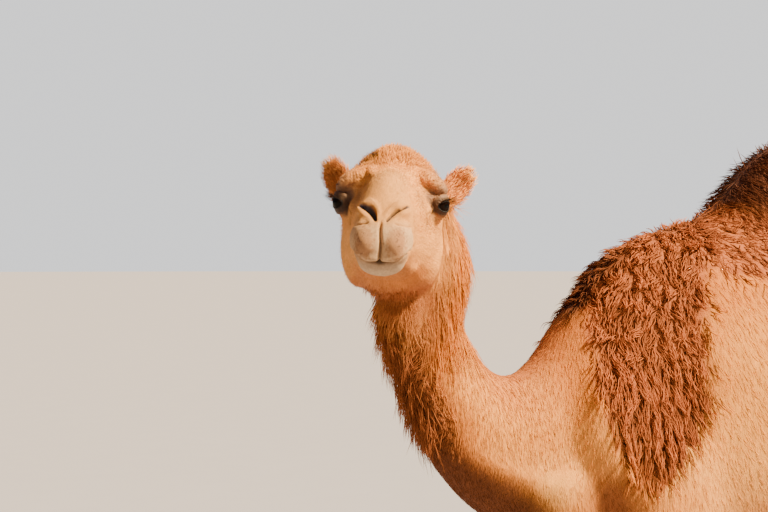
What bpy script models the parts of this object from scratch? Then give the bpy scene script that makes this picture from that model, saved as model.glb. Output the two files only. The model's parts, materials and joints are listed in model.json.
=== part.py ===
"""Dromedary camel, life size, standing still with its head turned to its left.

Metres, +Z up. The animal faces -X, its left flank faces -Y and its soles stand
on z = 0. The body is modelled whole, out to the tips of its coat, from lofted
and rounded masses, and then parted with thin flat cuts into named pieces.
"""

import math
from dataclasses import dataclass

import bmesh
import bpy
import numpy as np
from mathutils import Matrix, Vector

# Driving dimensions of the standing animal.
WITHERS_HEIGHT = 1.80
HUMP_TOP_HEIGHT = 2.09
HUMP_TOP_X = 0.62
LEG_SPREAD = 0.15
HIND_LEG_SPREAD = 0.14
FOOT_FRONT_X = 0.045
FOOT_HIND_X = 0.985
FOOT_SIZE = {"front": 1.0, "hind": 0.88}
PAD_HALF_LENGTH = 0.092
TOE_FORWARD = 0.052
TOE_APART = 0.039
TOE_SPLAY = 7.0
NAIL_FORWARD = 0.103
NAIL_APART = 0.046

# The head: the midpoint between the eyes, and how the head is held.
EYE_MIDPOINT = Vector((-0.600, -0.134, 1.8825))
HEAD_TURN = math.radians(58.5)
HEAD_ROLL = math.radians(2.0)
EYE_RADIUS = 0.0205
EYE_FORWARD = 0.010
EYE_SIDE = 0.0965
EYE_UP = 0.0
EAR_LEAN = {-1.0: 44.0, 1.0: 30.0}
EAR_LENGTH = 0.092
EAR_HALF_WIDTH = 0.0325
EAR_HALF_THICKNESS = 0.016
EAR_CUP = 0.018
EAR_ROWS = 9
EAR_AROUND = 14

# Fineness of the shell and the gaps between the pieces.
BODY_VOXEL = 0.011
HEAD_VOXEL = 0.006
CUT_GAP = 0.0006
SEAT_GAP = 0.0004
CUT_MARGIN = 0.05
HEAD_BUDGET = 1850
TRUNK_BUDGET = 1400
AROUND = 28
STEPS = 5


@dataclass(frozen=True)
class Ring:
    """One cross-section of a mass: its centre and its half sizes."""

    x: float
    y: float
    z: float
    wide: float
    up: float
    down: float
    turn: float = 0.0


@dataclass(frozen=True)
class Blob:
    """A rounded mass: its centre, its three half sizes and how it is turned."""

    x: float
    y: float
    z: float
    along: float
    across: float
    tall: float
    yaw: float = 0.0
    pitch: float = 0.0
    roll: float = 0.0


@dataclass(frozen=True)
class Plane:
    """A flat cut. A piece keeps the side that the normal points to."""

    point: tuple
    normal: tuple

    def flipped(self):
        """Return the same cut with the other side kept."""
        return Plane(self.point, tuple(-value for value in self.normal))


# ---------------------------------------------------------------- materials
COLOURS = {
    "coat_tan": (0.62, 0.34, 0.17, 0.85),
    "coat_pale": (0.74, 0.52, 0.33, 0.85),
    "coat_brown": (0.27, 0.12, 0.06, 0.90),
    "nail_horn": (0.12, 0.09, 0.07, 0.45),
    "eye_dark": (0.02, 0.012, 0.01, 0.05),
}


def make_materials():
    """Make one Principled material for each finish and return them by name."""
    made = {}
    for name, (red, green, blue, roughness) in COLOURS.items():
        material = bpy.data.materials.new(name)
        material.use_nodes = True
        shader = material.node_tree.nodes["Principled BSDF"]
        shader.inputs["Base Color"].default_value = (red, green, blue, 1.0)
        shader.inputs["Roughness"].default_value = roughness
        shader.inputs["Metallic"].default_value = 0.0
        made[name] = material
    return made


# ---------------------------------------------------------------- masses
def smooth_rows(rows, steps):
    """Return a Catmull-Rom curve through rows of numbers, ends included."""
    rows = np.array(rows, dtype=float)
    padded = np.vstack([2.0 * rows[0] - rows[1], rows, 2.0 * rows[-1] - rows[-2]])
    curve = []
    for index in range(len(rows) - 1):
        before, start, end, after = padded[index:index + 4]
        for step in range(steps):
            t = step / steps
            curve.append(0.5 * (2.0 * start + (end - before) * t
                                + (2.0 * before - 5.0 * start + 4.0 * end - after) * t ** 2
                                + (3.0 * start - before - 3.0 * end + after) * t ** 3))
    curve.append(rows[-1])
    return np.array(curve)


def ring_points(centre, tangent, sizes, turn, squareness):
    """Return the points of one cross-section; squareness is for its top and bottom half."""
    wide, up, down = sizes
    side = Vector((-math.sin(turn), math.cos(turn), 0.0))
    above = tangent.cross(side).normalized()
    side = above.cross(tangent).normalized()
    points = []
    for index in range(AROUND):
        angle = 2.0 * math.pi * index / AROUND
        cosine = math.cos(angle)
        sine = math.sin(angle)
        power = 2.0 / squareness[0 if sine > 0.0 else 1]
        across = math.copysign(abs(cosine) ** power, cosine) * wide
        high = math.copysign(abs(sine) ** power, sine) * (up if sine > 0.0 else down)
        points.append(centre + side * across + above * high)
    return points


def loft(bm, rings, squareness=(2.0, 2.0), matrix=None, level=False):
    """Add to bm a closed, round-ended mass through the rings, upright ones if level."""
    rows = [(r.x, r.y, r.z, r.wide, r.up, r.down, r.turn) for r in rings]
    curve = smooth_rows(rows, STEPS)
    centres = [Vector(row[:3]) for row in curve]
    sections = []
    for index, row in enumerate(curve):
        ahead = centres[min(index + 1, len(curve) - 1)]
        behind = centres[max(index - 1, 0)]
        tangent = Vector((1.0, 0.0, 0.0)) if level else (ahead - behind).normalized()
        sections.append((centres[index], tangent, row[3:6], row[6]))
    sections = rounded_end(sections[0], -1.0)[::-1] + sections + rounded_end(sections[-1], 1.0)
    loops = []
    for centre, tangent, sizes, turn in sections:
        points = ring_points(centre, tangent, sizes, turn, squareness)
        if matrix is not None:
            points = [matrix @ point for point in points]
        loops.append([bm.verts.new(point) for point in points])
    for first, second in zip(loops, loops[1:]):
        for index in range(AROUND):
            after = (index + 1) % AROUND
            bm.faces.new((first[index], first[after], second[after], second[index]))
    bm.faces.new(loops[0][::-1])
    bm.faces.new(loops[-1])


def rounded_end(section, direction):
    """Return shrinking sections that round off one end of a mass."""
    centre, tangent, sizes, turn = section
    reach = 0.7 * min(sizes)
    ends = []
    for degrees in (30.0, 55.0, 75.0):
        angle = math.radians(degrees)
        moved = centre + tangent * direction * reach * math.sin(angle)
        ends.append((moved, tangent, [size * math.cos(angle) for size in sizes], turn))
    return ends


def blob(bm, shape, matrix=None, segments=24):
    """Add a rounded mass to bm."""
    turned = (Matrix.Rotation(math.radians(shape.yaw), 4, "Z")
              @ Matrix.Rotation(math.radians(shape.pitch), 4, "Y")
              @ Matrix.Rotation(math.radians(shape.roll), 4, "X"))
    place = (Matrix.Translation((shape.x, shape.y, shape.z)) @ turned
             @ Matrix.Diagonal((shape.along, shape.across, shape.tall, 1.0)))
    if matrix is not None:
        place = matrix @ place
    bmesh.ops.create_uvsphere(bm, u_segments=segments, v_segments=segments // 2, radius=1.0,
                              matrix=place)


def mirrored(shape):
    """Return the same rounded mass on the other side of the body."""
    return Blob(shape.x, -shape.y, shape.z, shape.along, shape.across, shape.tall,
                -shape.yaw, shape.pitch, -shape.roll)


# ---------------------------------------------------------------- the trunk
def add_trunk(bm):
    """Add the barrel from breast to rump."""
    sections = (
        # x, top, bottom, half width
        (-0.24, 1.50, 1.15, 0.090),
        (-0.17, 1.565, 1.09, 0.120),
        (-0.08, 1.680, 1.05, 0.150),
        (0.01, 1.788, 1.02, 0.180),
        (0.15, 1.845, 1.00, 0.230),
        (0.34, 1.87, 1.005, 0.285),
        (0.54, 1.88, 1.06, 0.325),
        (0.74, 1.865, 1.145, 0.310),
        (0.92, 1.815, 1.235, 0.260),
        (1.06, 1.745, 1.30, 0.210),
        (1.17, 1.655, 1.33, 0.155),
        (1.235, 1.565, 1.38, 0.085),
    )
    rings = []
    for x, top, bottom, wide in sections:
        middle = bottom + 0.52 * (top - bottom)
        rings.append(Ring(x, 0.0, middle, wide, top - middle, middle - bottom))
    loft(bm, rings, squareness=(2.0, 2.2), level=True)
    blob(bm, Blob(0.17, 0.0, 1.02, 0.13, 0.085, 0.055, pitch=-6.0))


def add_hump(bm):
    """Add the hump, steeper in front than behind."""
    base = WITHERS_HEIGHT - 0.07
    rise = HUMP_TOP_HEIGHT - base
    sections = (
        # distance from the top, share of the rise, half width
        (-0.40, 0.33, 0.070),
        (-0.31, 0.47, 0.105),
        (-0.23, 0.70, 0.135),
        (-0.13, 0.90, 0.155),
        (0.00, 1.00, 0.165),
        (0.13, 0.95, 0.165),
        (0.26, 0.76, 0.150),
        (0.37, 0.42, 0.120),
        (0.45, 0.12, 0.075),
    )
    rings = []
    for along, share, wide in sections:
        rings.append(Ring(HUMP_TOP_X + along, 0.0, base, wide, rise * share, 0.12))
    loft(bm, rings)


def add_shoulders(bm):
    """Add the shoulder blades, the upper arms and the breast muscles."""
    shapes = (
        Blob(0.055, -0.085, 1.60, 0.11, 0.080, 0.20, pitch=20.0, roll=-13.0),
        Blob(-0.010, -0.130, 1.42, 0.14, 0.080, 0.18, pitch=14.0, roll=-5.0),
        Blob(0.10, -0.165, 1.32, 0.165, 0.065, 0.20, pitch=-10.0, roll=-4.0),
        Blob(-0.135, -0.070, 1.25, 0.12, 0.085, 0.13, yaw=18.0),
    )
    for shape in shapes:
        blob(bm, shape)
        blob(bm, mirrored(shape))


def add_quarters(bm):
    """Add the haunches."""
    shapes = (
        Blob(0.99, -0.120, 1.53, 0.21, 0.10, 0.16, pitch=24.0, roll=-8.0),
        Blob(1.060, -0.120, 1.36, 0.145, 0.085, 0.23, pitch=4.0),
    )
    for shape in shapes:
        blob(bm, shape)
        blob(bm, mirrored(shape))


# ---------------------------------------------------------------- the neck
def add_neck(bm):
    """Add the neck: down from the poll, round its low bend and up to the chest."""
    loft(bm, (
        Ring(-0.503, -0.020, 1.885, 0.078, 0.085, 0.060, math.radians(45.0)),
        Ring(-0.470, -0.010, 1.815, 0.086, 0.136, 0.075, math.radians(30.0)),
        Ring(-0.458, -0.012, 1.745, 0.083, 0.130, 0.108, math.radians(18.0)),
        Ring(-0.462, -0.012, 1.655, 0.080, 0.102, 0.115, math.radians(8.0)),
        Ring(-0.446, -0.008, 1.565, 0.082, 0.112, 0.098),
        Ring(-0.400, -0.004, 1.475, 0.088, 0.126, 0.103),
        Ring(-0.330, 0.0, 1.405, 0.100, 0.146, 0.130),
        Ring(-0.225, 0.0, 1.362, 0.122, 0.180, 0.180),
        Ring(-0.10, 0.0, 1.370, 0.140, 0.215, 0.225),
        Ring(0.03, 0.0, 1.40, 0.150, 0.25, 0.25),
    ))


# ---------------------------------------------------------------- the head
def head_matrix():
    """Return the matrix from the head's frame (facing -X) to the body's."""
    return (Matrix.Translation(EYE_MIDPOINT)
            @ Matrix.Rotation(HEAD_TURN, 4, "Z")
            @ Matrix.Rotation(HEAD_ROLL, 4, "X"))


def add_head(bm):
    """Add the skull, jaw, muzzle, brows and cheeks, all in the head's frame."""
    matrix = head_matrix()
    sections = (
        # how far forward, top, bottom, half width
        (-0.195, 0.070, -0.095, 0.060),
        (-0.150, 0.112, -0.160, 0.088),
        (-0.100, 0.127, -0.190, 0.104),
        (-0.050, 0.122, -0.188, 0.106),
        (-0.005, 0.101, -0.172, 0.097),
        (0.045, 0.078, -0.155, 0.083),
        (0.105, 0.064, -0.141, 0.070),
        (0.165, 0.049, -0.136, 0.063),
        (0.215, 0.031, -0.138, 0.060),
        (0.253, 0.006, -0.139, 0.058),
        (0.282, -0.024, -0.132, 0.050),
    )
    rings = []
    for forward, top, bottom, wide in reversed(sections):
        middle = 0.5 * (top + bottom)
        rings.append(Ring(-forward, 0.0, middle, wide, top - middle, middle - bottom))
    loft(bm, rings, squareness=(1.95, 2.45), matrix=matrix, level=True)
    blob(bm, Blob(-0.254, 0.0, -0.117, 0.044, 0.046, 0.027), matrix)
    pairs = (
        # nostril rims, halves of the upper lip, brows, eye sockets, jaw muscles
        Blob(-0.248, -0.031, -0.016, 0.040, 0.021, 0.017, yaw=14.0, pitch=-16.0),
        Blob(-0.276, -0.030, -0.076, 0.040, 0.035, 0.042, yaw=8.0, pitch=8.0),
        Blob(0.006, -0.074, 0.042, 0.050, 0.046, 0.024, yaw=-10.0, roll=26.0),
        Blob(0.010, -0.072, -0.004, 0.050, 0.043, 0.044),
        Blob(0.078, -0.064, -0.085, 0.078, 0.046, 0.092, yaw=-4.0),
    )
    for shape in pairs:
        blob(bm, shape, matrix)
        blob(bm, mirrored(shape), matrix)


def add_ear(bm, side):
    """Add one small cupped, blunt ear; side is -1 for the left one."""
    place = (head_matrix()
             @ Matrix.Translation((0.098, side * 0.100, 0.006))
             @ Matrix.Rotation(side * math.radians(-EAR_LEAN[side]), 4, "X")
             @ Matrix.Rotation(side * math.radians(-24.0), 4, "Z")
             @ Matrix.Rotation(math.radians(8.0), 4, "Y"))
    loops = []
    for row in range(EAR_ROWS + 1):
        share = row / EAR_ROWS
        wide = EAR_HALF_WIDTH * math.sin(math.pi * (0.17 + 0.75 * share ** 1.35)) ** 0.5
        thick = EAR_HALF_THICKNESS * (1.0 - 0.6 * share)
        cup = EAR_CUP * math.sin(math.pi * share)
        loop = []
        for index in range(EAR_AROUND):
            angle = 2.0 * math.pi * index / EAR_AROUND
            bowl = cup * (1.0 - math.cos(angle) ** 2)
            point = Vector((thick * math.sin(angle) + bowl, math.cos(angle) * wide,
                            share * EAR_LENGTH))
            loop.append(bm.verts.new(place @ point))
        loops.append(loop)
    for first, second in zip(loops, loops[1:]):
        for index in range(EAR_AROUND):
            after = (index + 1) % EAR_AROUND
            bm.faces.new((first[index], first[after], second[after], second[index]))
    bm.faces.new(loops[0][::-1])
    bm.faces.new(loops[-1])
    bmesh.ops.recalc_face_normals(bm, faces=bm.faces)


# ---------------------------------------------------------------- the legs
def stepped(rings, step, top, side):
    """Return leg rings on one side, with the foot set forward or back by step."""
    moved = []
    for ring in rings:
        share = max(0.0, min(1.0, (top - ring.z) / top))
        moved.append(Ring(ring.x + step * share, side * ring.y, ring.z,
                          ring.wide, ring.up, ring.down))
    return moved


def front_leg(side, step):
    """Return the rings of one foreleg; up is its back and down its front."""
    out = LEG_SPREAD
    rings = (
        Ring(0.08, out, 1.26, 0.070, 0.160, 0.150),
        Ring(0.095, out + 0.005, 1.12, 0.064, 0.118, 0.105),
        Ring(0.085, out + 0.005, 0.98, 0.055, 0.078, 0.074),
        Ring(0.075, out, 0.82, 0.045, 0.056, 0.056),
        Ring(0.070, out, 0.68, 0.042, 0.048, 0.050),
        Ring(0.066, out, 0.575, 0.052, 0.055, 0.060),
        Ring(0.070, out, 0.50, 0.044, 0.047, 0.050),
        Ring(0.074, out, 0.38, 0.033, 0.037, 0.036),
        Ring(0.074, out, 0.23, 0.032, 0.037, 0.035),
        Ring(0.072, out, 0.145, 0.042, 0.050, 0.042),
        Ring(0.058, out, 0.085, 0.041, 0.044, 0.044),
        Ring(FOOT_FRONT_X, out, 0.05, 0.044, 0.045, 0.045),
    )
    return stepped(rings, step, 1.10, side)


def hind_leg(side, step):
    """Return the rings of one hind leg; up is its back and down its front."""
    out = HIND_LEG_SPREAD
    rings = (
        Ring(0.995, out - 0.005, 1.34, 0.082, 0.175, 0.165),
        Ring(0.970, out + 0.005, 1.20, 0.078, 0.165, 0.155),
        Ring(0.960, out + 0.008, 1.08, 0.068, 0.130, 0.125),
        Ring(0.990, out + 0.005, 0.92, 0.053, 0.090, 0.082),
        Ring(1.045, out, 0.77, 0.041, 0.060, 0.052),
        Ring(1.088, out, 0.65, 0.040, 0.058, 0.048),
        Ring(1.092, out, 0.57, 0.040, 0.050, 0.046),
        Ring(1.070, out, 0.43, 0.031, 0.036, 0.035),
        Ring(1.040, out, 0.25, 0.030, 0.035, 0.034),
        Ring(1.022, out, 0.155, 0.040, 0.047, 0.040),
        Ring(1.004, out, 0.085, 0.038, 0.041, 0.042),
        Ring(FOOT_HIND_X, out, 0.05, 0.040, 0.042, 0.042),
    )
    return stepped(rings, step, 1.15, side)


def add_foot(bm, x, y, size):
    """Add one broad two-toed foot, whose sole is cut flat later."""
    blob(bm, Blob(x + 0.010 * size, y, 0.020, PAD_HALF_LENGTH * size, 0.086 * size,
                  0.058 * size))
    for toe in (-1.0, 1.0):
        blob(bm, Blob(x - TOE_FORWARD * size, y + toe * TOE_APART * size, 0.018,
                      0.062 * size, 0.037 * size, 0.047 * size,
                      yaw=-TOE_SPLAY * toe, pitch=-5.0))


def add_nail(bm, x, y, size, toe):
    """Add the horn nail at the tip of one toe."""
    blob(bm, Blob(x - NAIL_FORWARD * size, y + toe * NAIL_APART * size, 0.026,
                  0.017, 0.0135, 0.013, yaw=-TOE_SPLAY * toe, pitch=-24.0), segments=8)


def add_tail(bm):
    """Add the hanging tail and the tuft at its end."""
    loft(bm, (
        Ring(1.200, 0.0, 1.545, 0.050, 0.040, 0.045),
        Ring(1.268, 0.0, 1.500, 0.036, 0.034, 0.036),
        Ring(1.306, 0.0, 1.41, 0.027, 0.026, 0.026),
        Ring(1.318, 0.002, 1.27, 0.022, 0.021, 0.021),
        Ring(1.320, 0.006, 1.14, 0.024, 0.024, 0.023),
        Ring(1.318, 0.010, 1.03, 0.036, 0.037, 0.035),
        Ring(1.312, 0.012, 0.92, 0.030, 0.031, 0.029),
        Ring(1.308, 0.014, 0.85, 0.012, 0.013, 0.012),
    ))


# ---------------------------------------------------------------- shells
LEGS = {
    # name: (side, -1 for left; how far back the foot steps; whether it is a foreleg)
    "front_left": (-1.0, -0.045, True),
    "front_right": (1.0, 0.040, True),
    "hind_left": (-1.0, 0.050, False),
    "hind_right": (1.0, -0.060, False),
}


def foot_place(name):
    """Return the x, y and size of a leg's foot."""
    side, step, front = LEGS[name]
    if front:
        return FOOT_FRONT_X + step, side * LEG_SPREAD, FOOT_SIZE["front"]
    return FOOT_HIND_X + step, side * HIND_LEG_SPREAD, FOOT_SIZE["hind"]


def whole_body():
    """Return a mesh of all the overlapping masses of the animal."""
    bm = bmesh.new()
    add_trunk(bm)
    add_hump(bm)
    add_shoulders(bm)
    add_quarters(bm)
    add_neck(bm)
    add_head(bm)
    add_tail(bm)
    for name, (side, step, front) in LEGS.items():
        maker = front_leg if front else hind_leg
        loft(bm, maker(side, step))
        add_foot(bm, *foot_place(name))
    mesh = bpy.data.meshes.new("masses")
    bm.to_mesh(mesh)
    bm.free()
    return mesh


def evaluated(source):
    """Return a new mesh of an object with its modifiers, and drop the object."""
    graph = bpy.context.evaluated_depsgraph_get()
    mesh = bpy.data.meshes.new_from_object(source.evaluated_get(graph))
    bpy.data.objects.remove(source)
    return mesh


def remeshed(mesh, voxel):
    """Return one even shell round all the masses of a mesh."""
    source = bpy.data.objects.new("shell", mesh)
    bpy.context.scene.collection.objects.link(source)
    modifier = source.modifiers.new("even", "REMESH")
    modifier.mode = "VOXEL"
    modifier.voxel_size = voxel
    return evaluated(source)


def relax(mesh, rounds, shares):
    """Even out a mesh without shrinking it; shares says how much, by vertex."""
    points = np.empty(len(mesh.vertices) * 3)
    mesh.vertices.foreach_get("co", points)
    points = points.reshape(-1, 3)
    edges = np.empty(len(mesh.edges) * 2, dtype=np.int64)
    mesh.edges.foreach_get("vertices", edges)
    edges = edges.reshape(-1, 2)
    count = np.bincount(edges.ravel(), minlength=len(points)).astype(float)
    strength = shares(points)[:, None]
    for index in range(rounds * 2):
        pull = 0.55 if index % 2 == 0 else -0.565
        total = np.zeros_like(points)
        for axis in range(3):
            total[:, axis] = np.bincount(edges[:, 0], points[edges[:, 1], axis], len(points))
            total[:, axis] += np.bincount(edges[:, 1], points[edges[:, 0], axis], len(points))
        points = points + pull * strength * (total / count[:, None] - points)
    mesh.vertices.foreach_set("co", points.ravel())
    mesh.update()


def ease(values, low, high):
    """Return 0 below low, 1 above high and a smooth rise between them."""
    share = np.clip((values - low) / (high - low), 0.0, 1.0)
    return share * share * (3.0 - 2.0 * share)


def body_shares(points):
    """Relax the trunk fully, and the legs and head only a little."""
    high = ease(points[:, 2], 0.95, 1.20)
    from_head = np.linalg.norm(points - np.array(EYE_MIDPOINT), axis=1)
    return (0.15 + 0.85 * high) * (0.15 + 0.85 * ease(from_head, 0.20, 0.35))


def head_shares(points):
    """Relax the whole head alike."""
    return np.full(len(points), 0.8)


def cut(bm, plane, offset):
    """Keep the side of a plane, moved by offset along its normal."""
    normal = Vector(plane.normal).normalized()
    point = Vector(plane.point) + normal * offset
    geometry = bm.verts[:] + bm.edges[:] + bm.faces[:]
    bmesh.ops.bisect_plane(bm, geom=geometry, plane_co=point, plane_no=normal,
                           clear_inner=True, dist=1e-6)


def fill_open_edges(bm):
    """Close the flat openings that a cut has left."""
    edges = [edge for edge in bm.edges if edge.is_boundary]
    if edges:
        bmesh.ops.holes_fill(bm, edges=edges, sides=0)


def keep_largest(bm):
    """Drop all but the largest connected body."""
    left = set(bm.verts)
    bodies = []
    while left:
        stack = [left.pop()]
        body = set(stack)
        while stack:
            vertex = stack.pop()
            for edge in vertex.link_edges:
                other = edge.other_vert(vertex)
                if other in left:
                    left.discard(other)
                    body.add(other)
                    stack.append(other)
        bodies.append(body)
    bodies.sort(key=len, reverse=True)
    spare = [vertex for body in bodies[1:] for vertex in body]
    bmesh.ops.delete(bm, geom=spare, context="VERTS")


def thinned(bm, budget):
    """Return a new bmesh with about budget triangles."""
    mesh = bpy.data.meshes.new("thinned")
    bmesh.ops.triangulate(bm, faces=bm.faces)
    count = len(bm.faces)
    bm.to_mesh(mesh)
    bm.free()
    source = bpy.data.objects.new("thinned", mesh)
    bpy.context.scene.collection.objects.link(source)
    modifier = source.modifiers.new("fewer", "DECIMATE")
    modifier.ratio = min(1.0, budget / count)
    result = bmesh.new()
    result.from_mesh(evaluated(source))
    return result


def piece_mesh(name, shell, planes, budget):
    """Return one closed piece of the shell, thinned and cut flat at its planes."""
    bm = bmesh.new()
    bm.from_mesh(shell)
    for plane in planes:
        cut(bm, plane, -CUT_MARGIN)
    keep_largest(bm)
    bm = thinned(bm, budget)
    for plane in planes:
        cut(bm, plane, 0.5 * CUT_GAP)
        fill_open_edges(bm)
    keep_largest(bm)
    bmesh.ops.triangulate(bm, faces=bm.faces)
    bmesh.ops.remove_doubles(bm, verts=bm.verts, dist=1e-5)
    bmesh.ops.dissolve_degenerate(bm, edges=bm.edges, dist=1e-5)
    bmesh.ops.triangulate(bm, faces=bm.faces)
    bmesh.ops.recalc_face_normals(bm, faces=bm.faces)
    mesh = bpy.data.meshes.new(name)
    bm.to_mesh(mesh)
    bm.free()
    return mesh


# ---------------------------------------------------------------- objects
def add_object(name, mesh, material, collection):
    """Show a mesh as one named sub-part."""
    mesh.name = name
    mesh.materials.clear()
    mesh.materials.append(material)
    mesh.shade_smooth()
    mesh.set_sharp_from_angle(angle=math.radians(60.0))
    made = bpy.data.objects.new(name, mesh)
    collection.objects.link(made)
    return made


def built(maker, *arguments):
    """Return the mesh that a maker adds to an empty bmesh."""
    bm = bmesh.new()
    maker(bm, *arguments)
    bmesh.ops.triangulate(bm, faces=bm.faces)
    mesh = bpy.data.meshes.new("built")
    bm.to_mesh(mesh)
    bm.free()
    return mesh


def swollen(mesh, amount):
    """Return a copy of a mesh, moved outward by amount."""
    copy = mesh.copy()
    bm = bmesh.new()
    bm.from_mesh(copy)
    bmesh.ops.recalc_face_normals(bm, faces=bm.faces)
    bm.normal_update()
    moves = [(vertex, vertex.normal * amount * vertex.calc_shell_factor())
             for vertex in bm.verts]
    for vertex, move in moves:
        vertex.co += move
    bm.to_mesh(copy)
    bm.free()
    return copy


def add_cutter(target, mesh, cutters):
    """Cut target by a mesh, swollen by the gap that the two pieces keep."""
    cutter = bpy.data.objects.new(f"{target.name}_cutter", swollen(mesh, SEAT_GAP))
    cutter.hide_render = True
    cutter.display_type = "WIRE"
    cutters.objects.link(cutter)
    modifier = target.modifiers.new("seat", "BOOLEAN")
    modifier.operation = "DIFFERENCE"
    modifier.object = cutter


def eye_mesh(side):
    """Return one eyeball."""
    bm = bmesh.new()
    place = head_matrix() @ Matrix.Translation((-EYE_FORWARD, side * EYE_SIDE, EYE_UP))
    bmesh.ops.create_uvsphere(bm, u_segments=14, v_segments=8, radius=EYE_RADIUS,
                              matrix=place)
    bmesh.ops.triangulate(bm, faces=bm.faces)
    mesh = bpy.data.meshes.new("eye")
    bm.to_mesh(mesh)
    bm.free()
    return mesh


# Where the animal is parted. Each normal points away from the trunk's middle.
NECK_ROOT = Plane((-0.205, 0.0, 1.36), (-1.0, 0.0, 0.0))
NECK_BEND = Plane((-0.400, 0.0, 1.470), (-0.45, 0.0, 0.89))
NECK_TOP = Plane((-0.470, 0.0, 1.660), (-0.12, 0.0, 0.99))
HUMP_FOOT = Plane((0.62, 0.0, 1.845), (0.0, 0.0, 1.0))
TAIL_ROOT = Plane((1.262, 0.0, 1.50), (1.0, 0.0, 0.0))
TAIL_TUFT = Plane((1.318, 0.0, 1.10), (0.0, 0.0, -1.0))
ELBOW = Plane((0.10, 0.0, 1.00), (0.0, 0.0, -1.0))
THIGH = Plane((0.95, 0.0, 1.135), (0.0, 0.0, -1.0))
ANKLE = Plane((0.5, 0.0, 0.125), (0.0, 0.0, -1.0))
GROUND = Plane((0.5, 0.0, -0.5 * CUT_GAP), (0.0, 0.0, 1.0))
MIDDLE = Plane((0.5, 0.0, 0.0), (0.0, 1.0, 0.0))
FRONT_HALF = Plane((0.5, 0.0, 0.5), (-1.0, 0.0, 0.0))


def throat_plane():
    """Return the cut between the head and the neck, square to the throat."""
    matrix = head_matrix()
    forward = matrix.to_3x3() @ Vector((-0.96, 0.0, 0.28))
    point = matrix @ Vector((0.165, 0.0, -0.045))
    return Plane(tuple(point), tuple(forward))


def body_regions():
    """Return each flesh node's name, cuts, triangle budget and material."""
    throat = throat_plane()
    regions = [
        ("neck_upper", (NECK_ROOT, NECK_TOP, throat.flipped()), 330, "coat_tan"),
        ("neck_middle", (NECK_ROOT, NECK_BEND, NECK_TOP.flipped()), 300, "coat_tan"),
        ("neck_lower", (NECK_ROOT, NECK_BEND.flipped()), 300, "coat_pale"),
        ("hump", (NECK_ROOT.flipped(), HUMP_FOOT), 320, "coat_brown"),
        ("tail", (TAIL_ROOT, TAIL_TUFT.flipped()), 110, "coat_tan"),
        ("tail_tuft", (TAIL_ROOT, TAIL_TUFT), 90, "coat_brown"),
    ]
    for name, (side, _, front) in LEGS.items():
        flank = MIDDLE if side > 0.0 else MIDDLE.flipped()
        end = FRONT_HALF if front else FRONT_HALF.flipped()
        top = ELBOW if front else THIGH
        place = (flank, end, TAIL_ROOT.flipped())
        regions.append((f"leg_{name}", place + (top, ANKLE.flipped()), 300, "coat_tan"))
        regions.append((f"foot_{name}", place + (ANKLE, GROUND), 170, "coat_tan"))
    return regions


def trunk_mesh(shell):
    """Return the trunk: what is left when all its neighbours are cut away."""
    planes = (NECK_ROOT.flipped(), HUMP_FOOT.flipped(), TAIL_ROOT.flipped())
    bm = bmesh.new()
    bm.from_mesh(shell)
    for plane in planes:
        cut(bm, plane, -CUT_MARGIN)
    cut(bm, ELBOW.flipped(), -CUT_MARGIN)
    keep_largest(bm)
    bm = thinned(bm, TRUNK_BUDGET)
    for plane in planes:
        cut(bm, plane, 0.5 * CUT_GAP)
        fill_open_edges(bm)
    cut_leg_tops(bm)
    mesh = bpy.data.meshes.new("trunk")
    bmesh.ops.triangulate(bm, faces=bm.faces)
    bmesh.ops.remove_doubles(bm, verts=bm.verts, dist=1e-5)
    bmesh.ops.triangulate(bm, faces=bm.faces)
    bmesh.ops.recalc_face_normals(bm, faces=bm.faces)
    bm.to_mesh(mesh)
    bm.free()
    return mesh


def cut_leg_tops(bm):
    """Cut the four legs off the trunk, the hind ones higher up than the fore ones."""
    for plane, in_front in ((ELBOW, True), (THIGH, False)):
        split = FRONT_HALF.point[0]
        height = plane.point[2] + 0.5 * CUT_GAP
        bound = [face for face in bm.faces
                 if (face.calc_center_median().x < split) == in_front]
        geometry = set(bound)
        for face in bound:
            geometry.update(face.verts)
            geometry.update(face.edges)
        bmesh.ops.bisect_plane(bm, geom=list(geometry), dist=1e-6,
                               plane_co=(0.0, 0.0, height), plane_no=(0.0, 0.0, 1.0))
        low = [face for face in bm.faces
               if (face.calc_center_median().x < split) == in_front
               and face.calc_center_median().z < height - 1e-6]
        bmesh.ops.delete(bm, geom=low, context="FACES")
        fill_open_edges(bm)


def centre_over_origin(collection):
    """Move every piece alike, so that the middle of their box stands over the origin."""
    points = [vertex.co for piece in collection.objects for vertex in piece.data.vertices]
    lows = [min(point[axis] for point in points) for axis in (0, 1)]
    highs = [max(point[axis] for point in points) for axis in (0, 1)]
    shift = Vector([-0.5 * (low + high) for low, high in zip(lows, highs)] + [0.0])
    for piece in collection.objects:
        piece.data.transform(Matrix.Translation(shift))


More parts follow.
